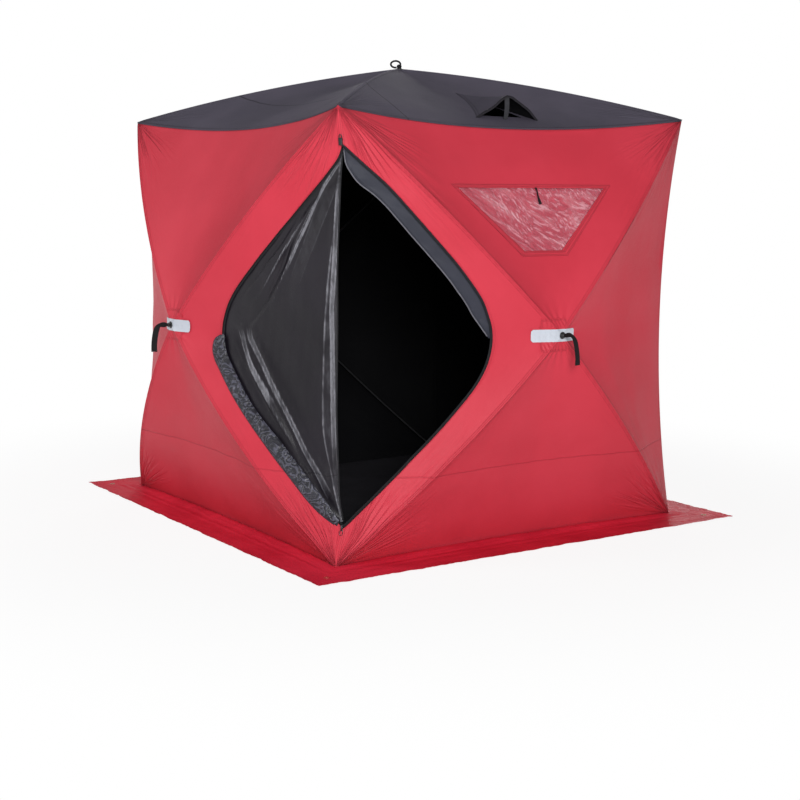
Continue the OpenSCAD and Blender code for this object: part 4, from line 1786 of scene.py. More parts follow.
@dataclass
class Window(Work):
    """The clear windows in the front and back walls, their covers, bindings and tabs."""

    top_half: float = field(init=False)
    low_half: float = 0.100
    top: float = field(init=False)
    low: float = field(init=False)
    binding: float = 0.020

    def __post_init__(self) -> None:
        """Reads the window's sizes from the boxes of its binding."""
        low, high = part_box("window_bindings")
        self.top_half = high.x - 1.6 * self.binding
        self.top = high.z - 0.6 * self.binding
        self.low = low.z + self.binding

    def area(self) -> float:
        """Area of the window's hole, seen square on."""
        return (self.top_half + self.low_half) * (self.top - self.low)

    def corners(self, grown: float = 0.0) -> list[tuple[float, float]]:
        """The outline's corners, as a and z, grown by a width on every side."""
        wide, narrow = self.top_half + 1.6 * grown, self.low_half + 0.9 * grown
        top, low = self.top + 0.6 * grown, self.low - grown
        return [(-wide, top), (wide, top), (narrow, low), (-narrow, low)]

    def hole(self, wall: Wall) -> list[Plane]:
        """The planes round a window's hole, whose normals point out of it."""
        return planes_round([wall.room([a, 1.0, z]) for a, z in self.corners()], wall.out)

    def patch(self, wall: Wall, grown: float, rows: int, cols: int) -> tuple[Array, Array, Array]:
        """The window's trapezoid laid on its wall.

        Args:
            wall: The wall.
            grown: How much larger than the hole it is.
            rows: Points down it.
            cols: Points along it.

        Returns:
            The points, and their shares along and down.
        """
        down, along = np.meshgrid(np.linspace(0, 1, rows), np.linspace(0, 1, cols), indexing="ij")
        _, (wide, top), (narrow, low), _ = self.corners(grown)
        half = wide + (narrow - wide) * down
        z = top + (low - top) * down
        points = wall.room(self.hut.over(half * (2 * along - 1), z))
        return points, along, down

    def layer(self, wall: Wall) -> None:
        """Builds the film and the cover behind it.

        Args:
            wall: The wall.
        """
        hut = self.hut
        points, along, down = self.patch(wall, 0.010, 60, 110)
        edge = eased(np.minimum(np.minimum(along, 1 - along) / 0.05, np.minimum(down, 1 - down) / 0.08))
        lean = points.copy()
        lean[..., 2] += 0.75 * points[..., 0]
        stretched = lean * np.array([1.6, 1.6, 0.55])
        fold = 1 - np.abs(wander(stretched, 0.11, 4.0 + wall.value))
        small = 1 - np.abs(wander(stretched, 0.040, 7.0 + wall.value))
        bulge = 0.0022 * wander(points, 0.16, 5.0)
        film = hut.lifted(points, -0.0042 + edge * (0.0022 * fold**3 + 0.0010 * small**3 + bulge))
        piece = self.sewing.cloth(
            f"{wall.word}_window_film", [Grid(film, 0.1 + 0 * along)], [self.finishes.film],
            0.0004,
        )
        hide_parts("window_films")
        area = Grid(points, along).area()
        size = (2 * self.top_half * 1.05, (self.top - self.low) * 1.12)
        points, along, down = self.patch(wall, 0.024, 50, 90)
        lean = points * np.array([1.5, 1.5, 0.6])
        drape = 0.0030 * wander(lean, 0.12, 2.0 + wall.value) + 0.0014 * wander(lean, 0.05, 3.0)
        cover = hut.lifted(points, -0.0115 + drape * eased(np.minimum(along, 1 - along) / 0.04))
        piece = self.sewing.cloth(
            f"{wall.word}_window_cover", [Grid(cover, 0.1 + 0 * along)],
            [self.finishes.cover, self.finishes.lining],
            0.0010,
        )
        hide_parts("window_covers")
        Grid(points, along).area()

    def bind(self, wall: Wall) -> None:
        """Builds the folded binding round a window, mitred at its corners.

        Args:
            wall: The wall.
        """
        hut = self.hut
        corners = np.array([self.corners(), self.corners(self.binding)])
        grids, area = [], 0.0
        across = np.linspace(-0.12, 1.0, 13)
        for number in range(4):
            run = np.linspace(0, 1, 90 if number == 0 else 50)
            starts, ends = corners[:, number], corners[:, (number + 1) % 4]
            base, rim = (p + (q - p) * run[:, None] for p, q in zip(starts, ends, strict=True))
            flat = base[None] + (rim - base)[None] * across[:, None, None]
            points = wall.room(hut.over(flat[..., 0], flat[..., 1]))
            wide = across[:, None] + 0 * run
            height = 0.0016 + 0.0011 * arch(np.clip(wide, 0, 1)) ** 0.5 - 0.0030 * eased(-wide / 0.12)
            height += 0.0005 * wander(points, 0.03, 1.0 + number)
            seam = np.minimum(np.clip(wide, 0, 1), 1 - np.clip(wide, 0, 1)) * self.binding
            grids.append(Grid(hut.lifted(points, height), seam))
            area += grids[-1].area()
        piece = self.sewing.cloth(
            f"{wall.word}_window_binding", grids, [self.finishes.binding, self.finishes.lining],
            0.0011,
        )
        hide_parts("window_bindings")
        around = 2 * (self.top_half + self.low_half) + 2 * 0.39
        area / around

    def tab(self, wall: Wall) -> None:
        """Builds the webbing tab at the window's top.

        Args:
            wall: The wall.
        """
        hut = self.hut
        along = np.linspace(0, 1, 18)
        a = 0.046 + 0.004 * along + 0.002 * np.sin(along * 5)
        z = self.top - 0.001 - 0.067 * along
        line = hut.lifted(wall.room(hut.over(a, z)), -0.0004 + 0.0016 * np.sin(along * 7 + 1))
        way, out, across = self.sewing.rails(line)
        across = unit(across + out * (0.5 * np.sin(along * 4 + 0.5))[:, None])
        section = self.sewing.rounded(0.012, 0.0018, 0.0008)
        part = self.sewing.tube(line, across, np.cross(across, way), section)
        piece = self.sewing.solid(f"{wall.word}_cover_tab", [part], self.finishes.webbing)
        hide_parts("cover_tabs")

    def build(self) -> None:
        """Builds both windows."""
        for wall in filter(lambda each: each.windowed, Wall):
            self.layer(wall)
            self.bind(wall)
            self.tab(wall)
            LOG.info("%s window: film, cover, binding and tab", wall.word)


class Fold(Enum):
    """How a fold of the door panel shows."""

    FACING = "one side turned to the light"
    RIDGE = "a ridge, or a hollow where its height is below 0"


@dataclass
class Door(Work):
    """The unzipped corner door: panel, gathered edge, storm flap, zips, slider and toggle."""

    roll_rows: Rows = (
        (0.352, 0.475, 0.356, 0.466), (0.307, 0.43, 0.362, 0.43), (0.295, 0.362, 0.372, 0.384),
        (0.31, 0.292, 0.392, 0.342), (0.354, 0.238, 0.427, 0.3), (0.419, 0.184, 0.482, 0.252),
        (0.487, 0.152, 0.545, 0.21), (0.559, 0.131, 0.62, 0.186), (0.642, 0.115, 0.706, 0.171),
        (0.71, 0.104, 0.768, 0.158), (0.78, 0.096, 0.836, 0.144), (0.837, 0.088, 0.888, 0.134),
        (0.894, 0.082, 0.94, 0.122), (0.94, 0.08, 0.968, 0.112), (0.98, 0.083, 0.99, 0.1))
    roll_full: tuple[float, ...] = (0.25, 0.8, 1, 1, 1, 1, 1, 1, 1, 1, 1, 0.95, 0.8, 0.55, 0.25)
    flap_rows: Rows = (
        (0.985, 0.945, 0.999, 0.930), (0.968, 0.938, 0.990, 0.906), (0.940, 0.934, 0.981, 0.890),
        (0.905, 0.932, 0.960, 0.878), (0.860, 0.930, 0.925, 0.868), (0.790, 0.926, 0.867, 0.866),
        (0.708, 0.910, 0.809, 0.856), (0.617, 0.882, 0.721, 0.828), (0.522, 0.85, 0.629, 0.793),
        (0.434, 0.8, 0.539, 0.743), (0.362, 0.714, 0.459, 0.67), (0.34, 0.648, 0.425, 0.62),
        (0.322, 0.57, 0.387, 0.562), (0.315, 0.489, 0.345, 0.49))
    edge_points: int = 150
    panel_slack: float = 0.024
    hem_share: float = 0.068
    fold_lines: tuple[tuple[Fold, float, float, Rows], ...] = (
        (Fold.FACING, 0.0120, 0.028, (
            (0.442, 0.507), (0.474, 0.408), (0.523, 0.335), (0.601, 0.274), (0.66, 0.238))),
        (Fold.FACING, 0.0130, 0.030, (
            (0.49, 0.52), (0.512, 0.456), (0.603, 0.351), (0.69, 0.277), (0.771, 0.222),
            (0.829, 0.185), (0.897, 0.155), (0.959, 0.123))),
        (Fold.RIDGE, 0.006, 0.005, (
            (0.391, 0.404), (0.449, 0.343), (0.532, 0.284), (0.61, 0.244), (0.696, 0.205),
            (0.774, 0.17))),
        (Fold.RIDGE, 0.009, 0.008, (
            (0.415, 0.44), (0.46, 0.36), (0.55, 0.29), (0.65, 0.235), (0.76, 0.18))),
        (Fold.FACING, 0.0045, 0.010, (
            (0.992, 0.893), (0.95, 0.875), (0.899, 0.855), (0.845, 0.818), (0.78, 0.77),
            (0.70, 0.70))),
        (Fold.RIDGE, -0.013, 0.010, (
            (0.90, 0.868), (0.815, 0.838), (0.742, 0.785), (0.696, 0.732), (0.626, 0.663),
            (0.563, 0.599), (0.485, 0.525))),
        (Fold.RIDGE, 0.007, 0.006, (
            (0.86, 0.845), (0.79, 0.815), (0.715, 0.775), (0.65, 0.73), (0.59, 0.68),
            (0.51, 0.61))),
        (Fold.RIDGE, 0.006, 0.005, (
            (0.81, 0.862), (0.74, 0.842), (0.67, 0.815), (0.58, 0.783), (0.48, 0.728),
            (0.38, 0.665))),
        (Fold.RIDGE, 0.004, 0.005, (
            (0.88, 0.857), (0.80, 0.828), (0.725, 0.782), (0.66, 0.735), (0.60, 0.685),
            (0.535, 0.62))),
        (Fold.RIDGE, 0.005, 0.006, (
            (0.93, 0.868), (0.87, 0.845), (0.80, 0.80), (0.74, 0.745), (0.68, 0.68),
            (0.62, 0.60))),
        (Fold.RIDGE, -0.010, 0.008, (
            (0.83, 0.856), (0.76, 0.833), (0.695, 0.803), (0.606, 0.768), (0.502, 0.708),
            (0.395, 0.645))),
        (Fold.FACING, 0.0060, 0.055, (
            (0.99, 0.888), (0.955, 0.862), (0.923, 0.831), (0.841, 0.755), (0.77, 0.68),
            (0.72, 0.6))),
        (Fold.FACING, 0.0085, 0.022, (
            (0.997, 0.87), (0.983, 0.811), (0.966, 0.712), (0.953, 0.624), (0.946, 0.564),
            (0.949, 0.483), (0.955, 0.378), (0.962, 0.286), (0.979, 0.182))),
        (Fold.RIDGE, 0.007, 0.006, ((0.405, 0.528), (0.44, 0.527), (0.482, 0.528))),
    )

    def side(self, wall: Wall, reach: Array, share: Array, scale: Array | float) -> Array:
        """Points beside the door's corner."""
        part = Part.LESS if wall is Wall.FRONT else Part.MORE
        return self.hut.scaled(wall.room(self.hut.local(part, reach, share)), scale)

    def folds(self, base: Array, width: Array) -> tuple[Array, Array]:
        """The panel's folds, each along its own line.

        Args:
            base: The panel's smooth points.
            width: The panel's width beside each point.

        Returns:
            A height for each point, and how bright the painted highlight on a fold's crest is there.
        """
        total = np.zeros(base.shape[:-1])
        crest = np.zeros(base.shape[:-1])
        for kind, height, wide, shares in self.fold_lines:
            line = smooth_line(shares, 70)
            spots = self.side(Wall.LEFT, line[:, 0], line[:, 1], 0.985)
            across = -self.sewing.rails(spots)[2]
            away = np.linalg.norm(base[:, :, None, :] - spots, axis=-1)
            near = away.argmin(-1)
            least = np.take_along_axis(away, near[..., None], -1)[..., 0]
            offset = ((base - spots[near]) * across[near]).sum(-1)
            ends = np.sin(np.clip((near + 1) / (len(spots) + 1.0), 0, 1) * math.pi) ** 0.6
            reach = np.minimum(wide, 0.25 * width + 0.002)
            bell = np.exp(-((least / reach) ** 2))
            shape = bell * 2.33 * offset / reach if kind is Fold.FACING else bell
            total += height * shape * ends * (reach / wide)
            # The crest marks painted highlights: the side of a facing fold that is turned to the light,
            # with a brighter rim, and the top of a raised ridge.
            if kind is Fold.FACING:
                share = np.abs(offset) / (0.55 * reach)
                rim = np.exp(-(((share - 0.9) * 0.55 * reach / 0.0035) ** 2))
                band = (0.60 * eased((1 - share) / 0.2) + 0.45 * rim) * (least < 1.2 * reach)
                crest = np.maximum(crest, band * ends * min(1.0, (0.028 / wide) ** 2))
            elif height > 0:
                crest = np.maximum(crest, 0.8 * np.exp(-((least / (0.5 * reach)) ** 2)) * ends)
        return total, crest

    def panel(self) -> None:
        """Builds the hanging panel, with folds that run to the door's tips."""
        share, reach = DoorOutline.opening(Wall.LEFT, self.edge_points)
        inner = np.minimum(reach - 0.012, 0.985)
        t, f = np.meshgrid(share, Shell.crowded(170, 0.35), indexing="ij")
        tips = np.minimum(share - share[0], share[-1] - share)[:, None]
        free = 1 - self.panel_slack * eased(tips / 0.28)
        s = inner[:, None] * (1 - f) + free * f
        base = self.side(Wall.LEFT, s, t, 0.9925 - 0.016 * f)
        width = np.linalg.norm(base[:, -1] - base[:, 0], axis=-1)[:, None]
        full = eased(width / 0.25)
        stretched = base * np.array([1.6, 1.6, 0.5])
        height, crest = self.folds(base, width)
        height += 0.0012 * wander(stretched, 0.16, 3.0) * full
        height += 0.0005 * wander(base, 0.045, 5.0) * full
        hem = np.exp(-(((1 - f) * width / 0.010) ** 2))
        height = height + 0.003 * hem * full + 0.0012 * hem * wander(base, 0.03, 8.0) * full
        height -= 0.0012 * np.exp(-(((base[..., 2] - JOIN_HEIGHT) / 0.006) ** 2)) * full
        tuck = eased((1 - f) / 0.02)
        out = self.hut.lifted(base, height * (0.35 + 0.65 * tuck))
        # Painted highlight along the hem: a pale band with brighter edges, broken up unevenly, joined to
        # the folds' painted highlights.
        above, below = (share[-1] - share)[:, None], (share - share[0])[:, None]
        hem_wide = 0.009 + self.hem_share * eased(above / 0.45) * eased(below / 0.2)
        band = (free - s) / hem_wide
        uneven = 0.75 + 0.25 * wander(base * np.array([1.0, 1.0, 2.0]), 0.06, 4.0)
        inside = eased((1.0 - band) / 0.12) * (0.12 + 0.12 * arch(np.clip(band, 0, 1)))
        line = np.abs(free - s - 0.94 * hem_wide) / 0.0045
        edges = 0.50 * np.exp(-(line**2)) + 0.30 * np.exp(-(((free - s) / 0.004) ** 2))
        crest = np.clip(np.maximum(crest * 0.95, (inside + edges) * uneven), 0, 1)
        seam = np.minimum((1 - f) * width, 0.2)
        grid = Grid(out, seam, crest=crest)
        piece = self.sewing.cloth("door_panel_cloth", [grid], [self.finishes.door], 0.0010)
        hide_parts("door_panel")
        Grid(base, f).area()
        self.panel_edge(out[:, -1])

    def panel_edge(self, edge: Array) -> None:
        """Binds the panel's free edge with a narrow zip tape.

        Args:
            edge: The edge's points.
        """
        piece = self.sewing.edging(
            "door_panel_zip_edge", edge[3:-3], 0.0004, (0.006, 0.0026, 0.0011), self.finishes.zip_tape
        )

    @staticmethod
    def ribbon(rows: Array, count: int) -> tuple[Array, Array, Array]:
        """Places between two edges, which each row gives as two reaches and shares.

        Args:
            rows: The first edge's reach and share and the second's, in each row.
            count: How many points there are across.

        Returns:
            How far across each place is, its reach and its share.
        """
        f = np.broadcast_to(np.linspace(0, 1, count), (len(rows), count))
        edges = rows[:, None, 0:2] * (1 - f)[..., None] + rows[:, None, 2:4] * f[..., None]
        return f, edges[..., 0], edges[..., 1]

    def roll(self) -> None:
        """Builds the gathered edge that lies outside the left wall."""
        rows = smooth_line(np.column_stack([self.roll_rows, self.roll_full]), 210)
        f, reach, share = self.ribbon(rows, 46)
        full = np.clip(rows[:, 4:5], 0.1, 1.0)
        ends = eased(np.linspace(0, 1, len(rows)) / 0.02)[:, None]
        crown = arch(f) ** 0.55
        base = self.side(Wall.LEFT, reach, share, 1.0022)
        lean = base.copy()
        lean[..., 2] += 0.6 * base[..., 1]
        crease = 1 - np.abs(wander(lean * np.array([1.0, 1.0, 1.5]), 0.075, 6.0))
        small = 1 - np.abs(wander(base, 0.034, 9.0))
        tiny = wander(base, 0.020, 2.0)
        lump = 0.5 + 0.5 * wander(base, 0.13, 4.0)
        height = full * ends * crown * (0.0100 + 0.0040 * lump)
        height += full * crown * (0.0055 * crease**2 + 0.0030 * small**2 + 0.0012 * tiny)
        points = self.hut.lifted(base, height + 0.0012)
        grid = Grid(points, np.minimum(f, 1 - f) * 0.1)
        piece = self.sewing.cloth("door_gathered_edge", [grid], [self.finishes.roll], 0.0009)
        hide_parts("door_roll")
        grid.area() * 0.98
        hem = self.sewing.edging(
            "door_gathered_hem", points[4:-4, 0], 0.0016, (0.006, 0.0036, 0.0015), self.finishes.flap
        )

    def storm_flap(self) -> None:
        """Builds the flap inside the front edge, with its bound hem."""
        rows = smooth_line(self.flap_rows, 130)
        f, reach, share = self.ribbon(rows, 26)
        base = self.side(Wall.FRONT, reach, share, 0.9916)
        run = np.linspace(0, 1, len(rows))[:, None]
        height = 0.0035 * np.sin(run * 26 + 2 * f) * f**2 + 0.0015 * wander(base, 0.06, 3.0) * f
        height += 0.0012 * np.exp(-(((f - 0.9) / 0.07) ** 2))
        points = self.hut.lifted(base, height - 0.002 * f)
        width = np.linalg.norm(base[:, -1] - base[:, 0], axis=-1)[:, None]
        grid = Grid(points, (1 - f) * width)
        piece = self.sewing.cloth("door_storm_flap_cloth", [grid], [self.finishes.flap], 0.0010)
        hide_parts("door_storm_flap")
        grid.area()
        hem = self.sewing.edging(
            "door_storm_flap_hem", points[2:-2, -1], 0.0006, (0.0050, 0.0028, 0.0012),
            self.finishes.hem_web,
        )

    def zip_line(self, wall: Wall, hand: int) -> None:
        """Builds one wall's zip: its tape and its teeth.

        Args:
            wall: The front or the left wall.
            hand: -1 on the front wall and 1 on the left one.
        """
        count = self.edge_points
        share, reach = DoorOutline.opening(wall, count)
        line = self.side(wall, reach, share, 0.9958)
        way, out, across = self.sewing.rails(line)
        across = across * hand
        upper = np.zeros(count)
        if wall is Wall.FRONT:
            upper = eased((np.linspace(0, 1, count) - 0.45) / 0.1)
        sections = np.array([self.sewing.rounded(0.016 - 0.009 * f, 0.0016, 0.0006) for f in upper])
        shift = (0.002 + 0.004 * upper)[:, None]
        tape = self.sewing.tube(line + across * shift, across, out, sections)
        piece = self.sewing.solid(f"{wall.word}_zip_tape", [tape], self.finishes.zip_tape)
        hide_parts("door_zips")
        length = np.concatenate([[0], np.cumsum(np.linalg.norm(np.diff(line, axis=0), axis=1))])
        last = length[-1] * (0.47 if wall is Wall.FRONT else 1.0) - 0.008
        at = np.arange(0.008, last, 0.0042)
        teeth = []
        for place in at:
            spot, forward, outward, sideways = (
                np.array([np.interp(place, length, rows[:, i]) for i in range(3)])
                for rows in (line, way, out, across)
            )
            spot = spot - sideways * 0.0062 + outward * 0.0009
            stretch = np.array([spot - forward * 0.0013, spot + forward * 0.0013])
            two = np.ones((2, 1))
            teeth.append(self.sewing.tube(stretch, two * sideways, two * outward,
                                          self.sewing.rounded(0.0042, 0.0026, 0.0008, 2)))
        rows = self.sewing.solid(f"{wall.word}_zip_teeth", teeth, self.finishes.zip_teeth)

    def corner_frame(self, share: float) -> tuple[Array, Array, Array, Array]:
        """A place on the door's corner edge and the directions there.

        Args:
            share: Share of the corner's height.

        Returns:
            The place, the outward direction, the upward one and the sideways one.
        """
        hut = self.hut
        near = np.array([share - 0.002, share, share + 0.002])
        line = Wall.FRONT.room(hut.corner_line(near, -1.0))
        up = unit(line[2] - line[0])
        out = unit(np.array([-1.0, -1.0, 0.0]) - up * float(np.dot([-1.0, -1.0, 0.0], up)))
        return line[1], out, up, np.cross(up, out)

    def ring(self, centre: Array, first: Array, second: Array, radii: tuple[float, float],
             thick: float) -> Solid:
        """A closed oval ring.

        Args:
            centre: Its centre.
            first: Direction of its first radius.
            second: Direction of its second radius.
            radii: The two radii.
            thick: The wire's radius.

        Returns:
            Points and faces.
        """
        turns = np.linspace(0, math.tau, 40)
        line = centre + (
            np.cos(turns)[:, None] * first * radii[0] + np.sin(turns)[:, None] * second * radii[1]
        )
        out = unit(line - centre)
        normal = np.broadcast_to(unit(np.cross(first, second)), out.shape)
        circle = np.stack([np.cos(np.linspace(0, math.tau, 9)[:-1]),
                           np.sin(np.linspace(0, math.tau, 9)[:-1])], -1) * thick
        return self.sewing.tube(line, out, normal, circle)

    def hardware(self) -> None:
        """Builds the zip's slider with its pull ring, and the toggle above the door."""
        place, out, up, side = self.corner_frame(0.088)
        sewing = self.sewing
        body_line = np.array([place + out * 0.0062 + up * d for d in
                              (-0.013, -0.0115, -0.004, 0.004, 0.008, 0.009)])
        widths = [0.55, 0.85, 0.8, 1.0, 1.0, 0.75]
        sections = np.array([sewing.rounded(0.009 * k, 0.0062 * k, 0.0018 * k) for k in widths])
        six = np.ones((6, 1))
        body = sewing.tube(body_line, six * side, six * out, sections)
        bridge = self.ring(place + out * 0.0088 - up * 0.002, up, out, (0.0062, 0.0036), 0.0011)
        pull = self.ring(place + out * 0.0085 - up * 0.0195, up, side, (0.0105, 0.0066), 0.0013)
        slider = sewing.solid("door_zip_slider", [body, bridge, pull], self.finishes.metal)
        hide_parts("zip_slider")
        place, out, up, side = self.corner_frame(0.925)
        block_line = np.array([place + out * 0.0085 + up * d for d in
                               (-0.014, -0.0125, -0.008, 0.006, 0.0125, 0.014)])
        widths = [0.8, 1.0, 0.94, 0.94, 1.0, 0.8]
        sections = np.array([sewing.rounded(0.016 * k, 0.012 * k, 0.0035 * k) for k in widths])
        block = sewing.tube(block_line, six * side, six * out, sections)
        loop = self.ring(place + out * 0.0065 + up * 0.018, up, side, (0.0075, 0.005), 0.0018)
        toggle = sewing.solid("door_toggle_block", [block, loop], self.finishes.plastic)
        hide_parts("door_toggle")

    def build(self) -> None:
        """Builds the door's pieces."""
        self.panel()
        self.roll()
        self.storm_flap()
        self.zip_line(Wall.FRONT, -1)
        self.zip_line(Wall.LEFT, 1)
        self.hardware()
        LOG.info("door: panel, gathered edge, storm flap, zips, slider and toggle")


@dataclass
class HubTrim(Work):
    """What is sewn round each wall hub: pad, reflective strip, stud and pull strap."""

    strip_long: float = 0.210
    strip_high: float = 0.050
    strap_wide: float = 0.025
    strap_path: tuple[Triple, ...] = (
        (0.0, 0.0156, 0.0), (0.003, 0.028, 0.002), (0.006, 0.043, 0.002), (0.009, 0.056, -0.002),
        (0.012, 0.065, -0.016), (0.015, 0.070, -0.038), (0.018, 0.073, -0.066),
        (0.020, 0.074, -0.092), (0.021, 0.073, -0.114))

    def pad(self, wall: Wall) -> None:
        """Builds the stitched square of cloth behind the strip.

        Args:
            wall: The wall.
        """
        hut = self.hut
        centre = -0.029 if wall.hand > 0 else 0.0058
        z, a = np.meshgrid(np.linspace(0.068, -0.066, 40), np.linspace(-0.066, 0.066, 40), indexing="ij")
        points = wall.room(hut.over(a + centre, hut.hub_z + z))
        edge = np.minimum(0.066 - np.abs(a), 0.067 - np.abs(z))
        flutes = np.sin((a + 0.3 * z) * math.tau / 0.017) * eased((np.abs(z) - 0.02) / 0.02)
        height = 0.0022 + 0.0012 * flutes * eased(edge / 0.01) + 0.0006 * wander(points, 0.04, 2.0)
        height -= 0.0009 * np.exp(-(((edge - 0.012) / 0.0025) ** 2))
        grid = Grid(hut.lifted(points, height), edge)
        piece = self.sewing.cloth(f"{wall.word}_hub_pad", [grid], [self.finishes.pad], 0.0012)
        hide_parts("hub_backings")

    def strip(self, wall: Wall) -> None:
        """Builds the reflective strip, with cut corners.

        Args:
            wall: The wall.
        """
        hut = self.hut
        share = 0.62 if wall.hand > 0 else 0.46
        f, g = np.meshgrid(np.linspace(0, 1, 22), np.linspace(0, 1, 70), indexing="ij")
        clip = 0.007
        long = self.strip_long
        inset = np.clip(clip - np.minimum(f, 1 - f) * self.strip_high, 0, clip)
        a = -long * share + inset + (long - 2 * inset) * g
        z = hut.hub_z + self.strip_high * (0.5 - f)
        points = wall.room(hut.over(a, z))
        height = 0.0040 + 0.0010 * wander(points * np.array([1, 1, 0.4]), 0.05, 3.0 + wall.value)
        height += 0.0016 * np.exp(-((a / 0.02) ** 2))
        grid = Grid(hut.lifted(points, height), 0.1 + 0 * a)
        piece = self.sewing.cloth(f"{wall.word}_reflective_strip", [grid], [self.finishes.tape], 0.0007)
        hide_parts("hub_strips")

    def stud(self, wall: Wall) -> None:
        """Builds the stud that holds the pull strap.

        Args:
            wall: The wall.
        """
        hut = self.hut
        place = wall.room(hut.hub + np.array([0.0, 0.0045, 0.0]))
        profile = [(0.002, 0.0), (0.0135, 0.0), (0.0145, 0.0012), (0.0135, 0.0030), (0.0085, 0.0042),
                   (0.0062, 0.0060), (0.0066, 0.0080), (0.0090, 0.0095), (0.0095, 0.0115),
                   (0.0075, 0.0135), (0.002, 0.0145)]
        piece = self.sewing.solid(
            f"{wall.word}_strap_stud", [self.sewing.turned(profile, place, wall.out, 30)],
            self.finishes.plastic,
        )
        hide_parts("strap_studs")

    def strap(self, wall: Wall) -> None:
        """Builds the pull strap, from flat webbing with a folded end.

        Args:
            wall: The wall.
        """
        hut = self.hut
        path = smooth_line(self.strap_path, 60)
        line = wall.room(path * np.array([wall.hand, 1.0, 1.0]) + hut.hub)
        way = unit(np.gradient(line, axis=0))
        share = np.linspace(0, 1, len(path))
        turn = np.clip(2 * share, 0, 1)[:, None]
        lean = 0.1 if wall.hand > 0 else -1.4
        wide = np.hstack([(0.35 + 0.65 * turn) * wall.hand, -lean * (0.3 + 0.7 * turn), 1 - turn])
        wide = wall.room(wide)
        across = unit(wide - way * (way * wide).sum(-1, keepdims=True))
        out = np.cross(way, across)
        widths = 0.45 + 0.55 * eased(share / 0.2)
        widths = widths * (1 - 0.3 * np.exp(-(((share - 0.36) / 0.10) ** 2)))
        sections = np.array([
            self.sewing.rounded(self.strap_wide * k, 0.0026 + 0.0022 * (f > 0.9), 0.0010)
            for k, f in zip(widths, share, strict=True)
        ])
        sections[:, :, 1] += 0.0020 * np.abs(sections[:, :, 0]) / (self.strap_wide / 2)
        part = self.sewing.tube(line, across, out, sections)
        piece = self.sewing.solid(f"{wall.word}_pull_strap", [part], self.finishes.webbing)
        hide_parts("pull_straps")

    def build(self) -> None:
        """Builds the trim of every hub."""
        for wall in Wall:
            self.pad(wall)
            self.strip(wall)
            self.stud(wall)
            self.strap(wall)
            LOG.info("%s hub: pad, strip, stud and strap", wall.word)


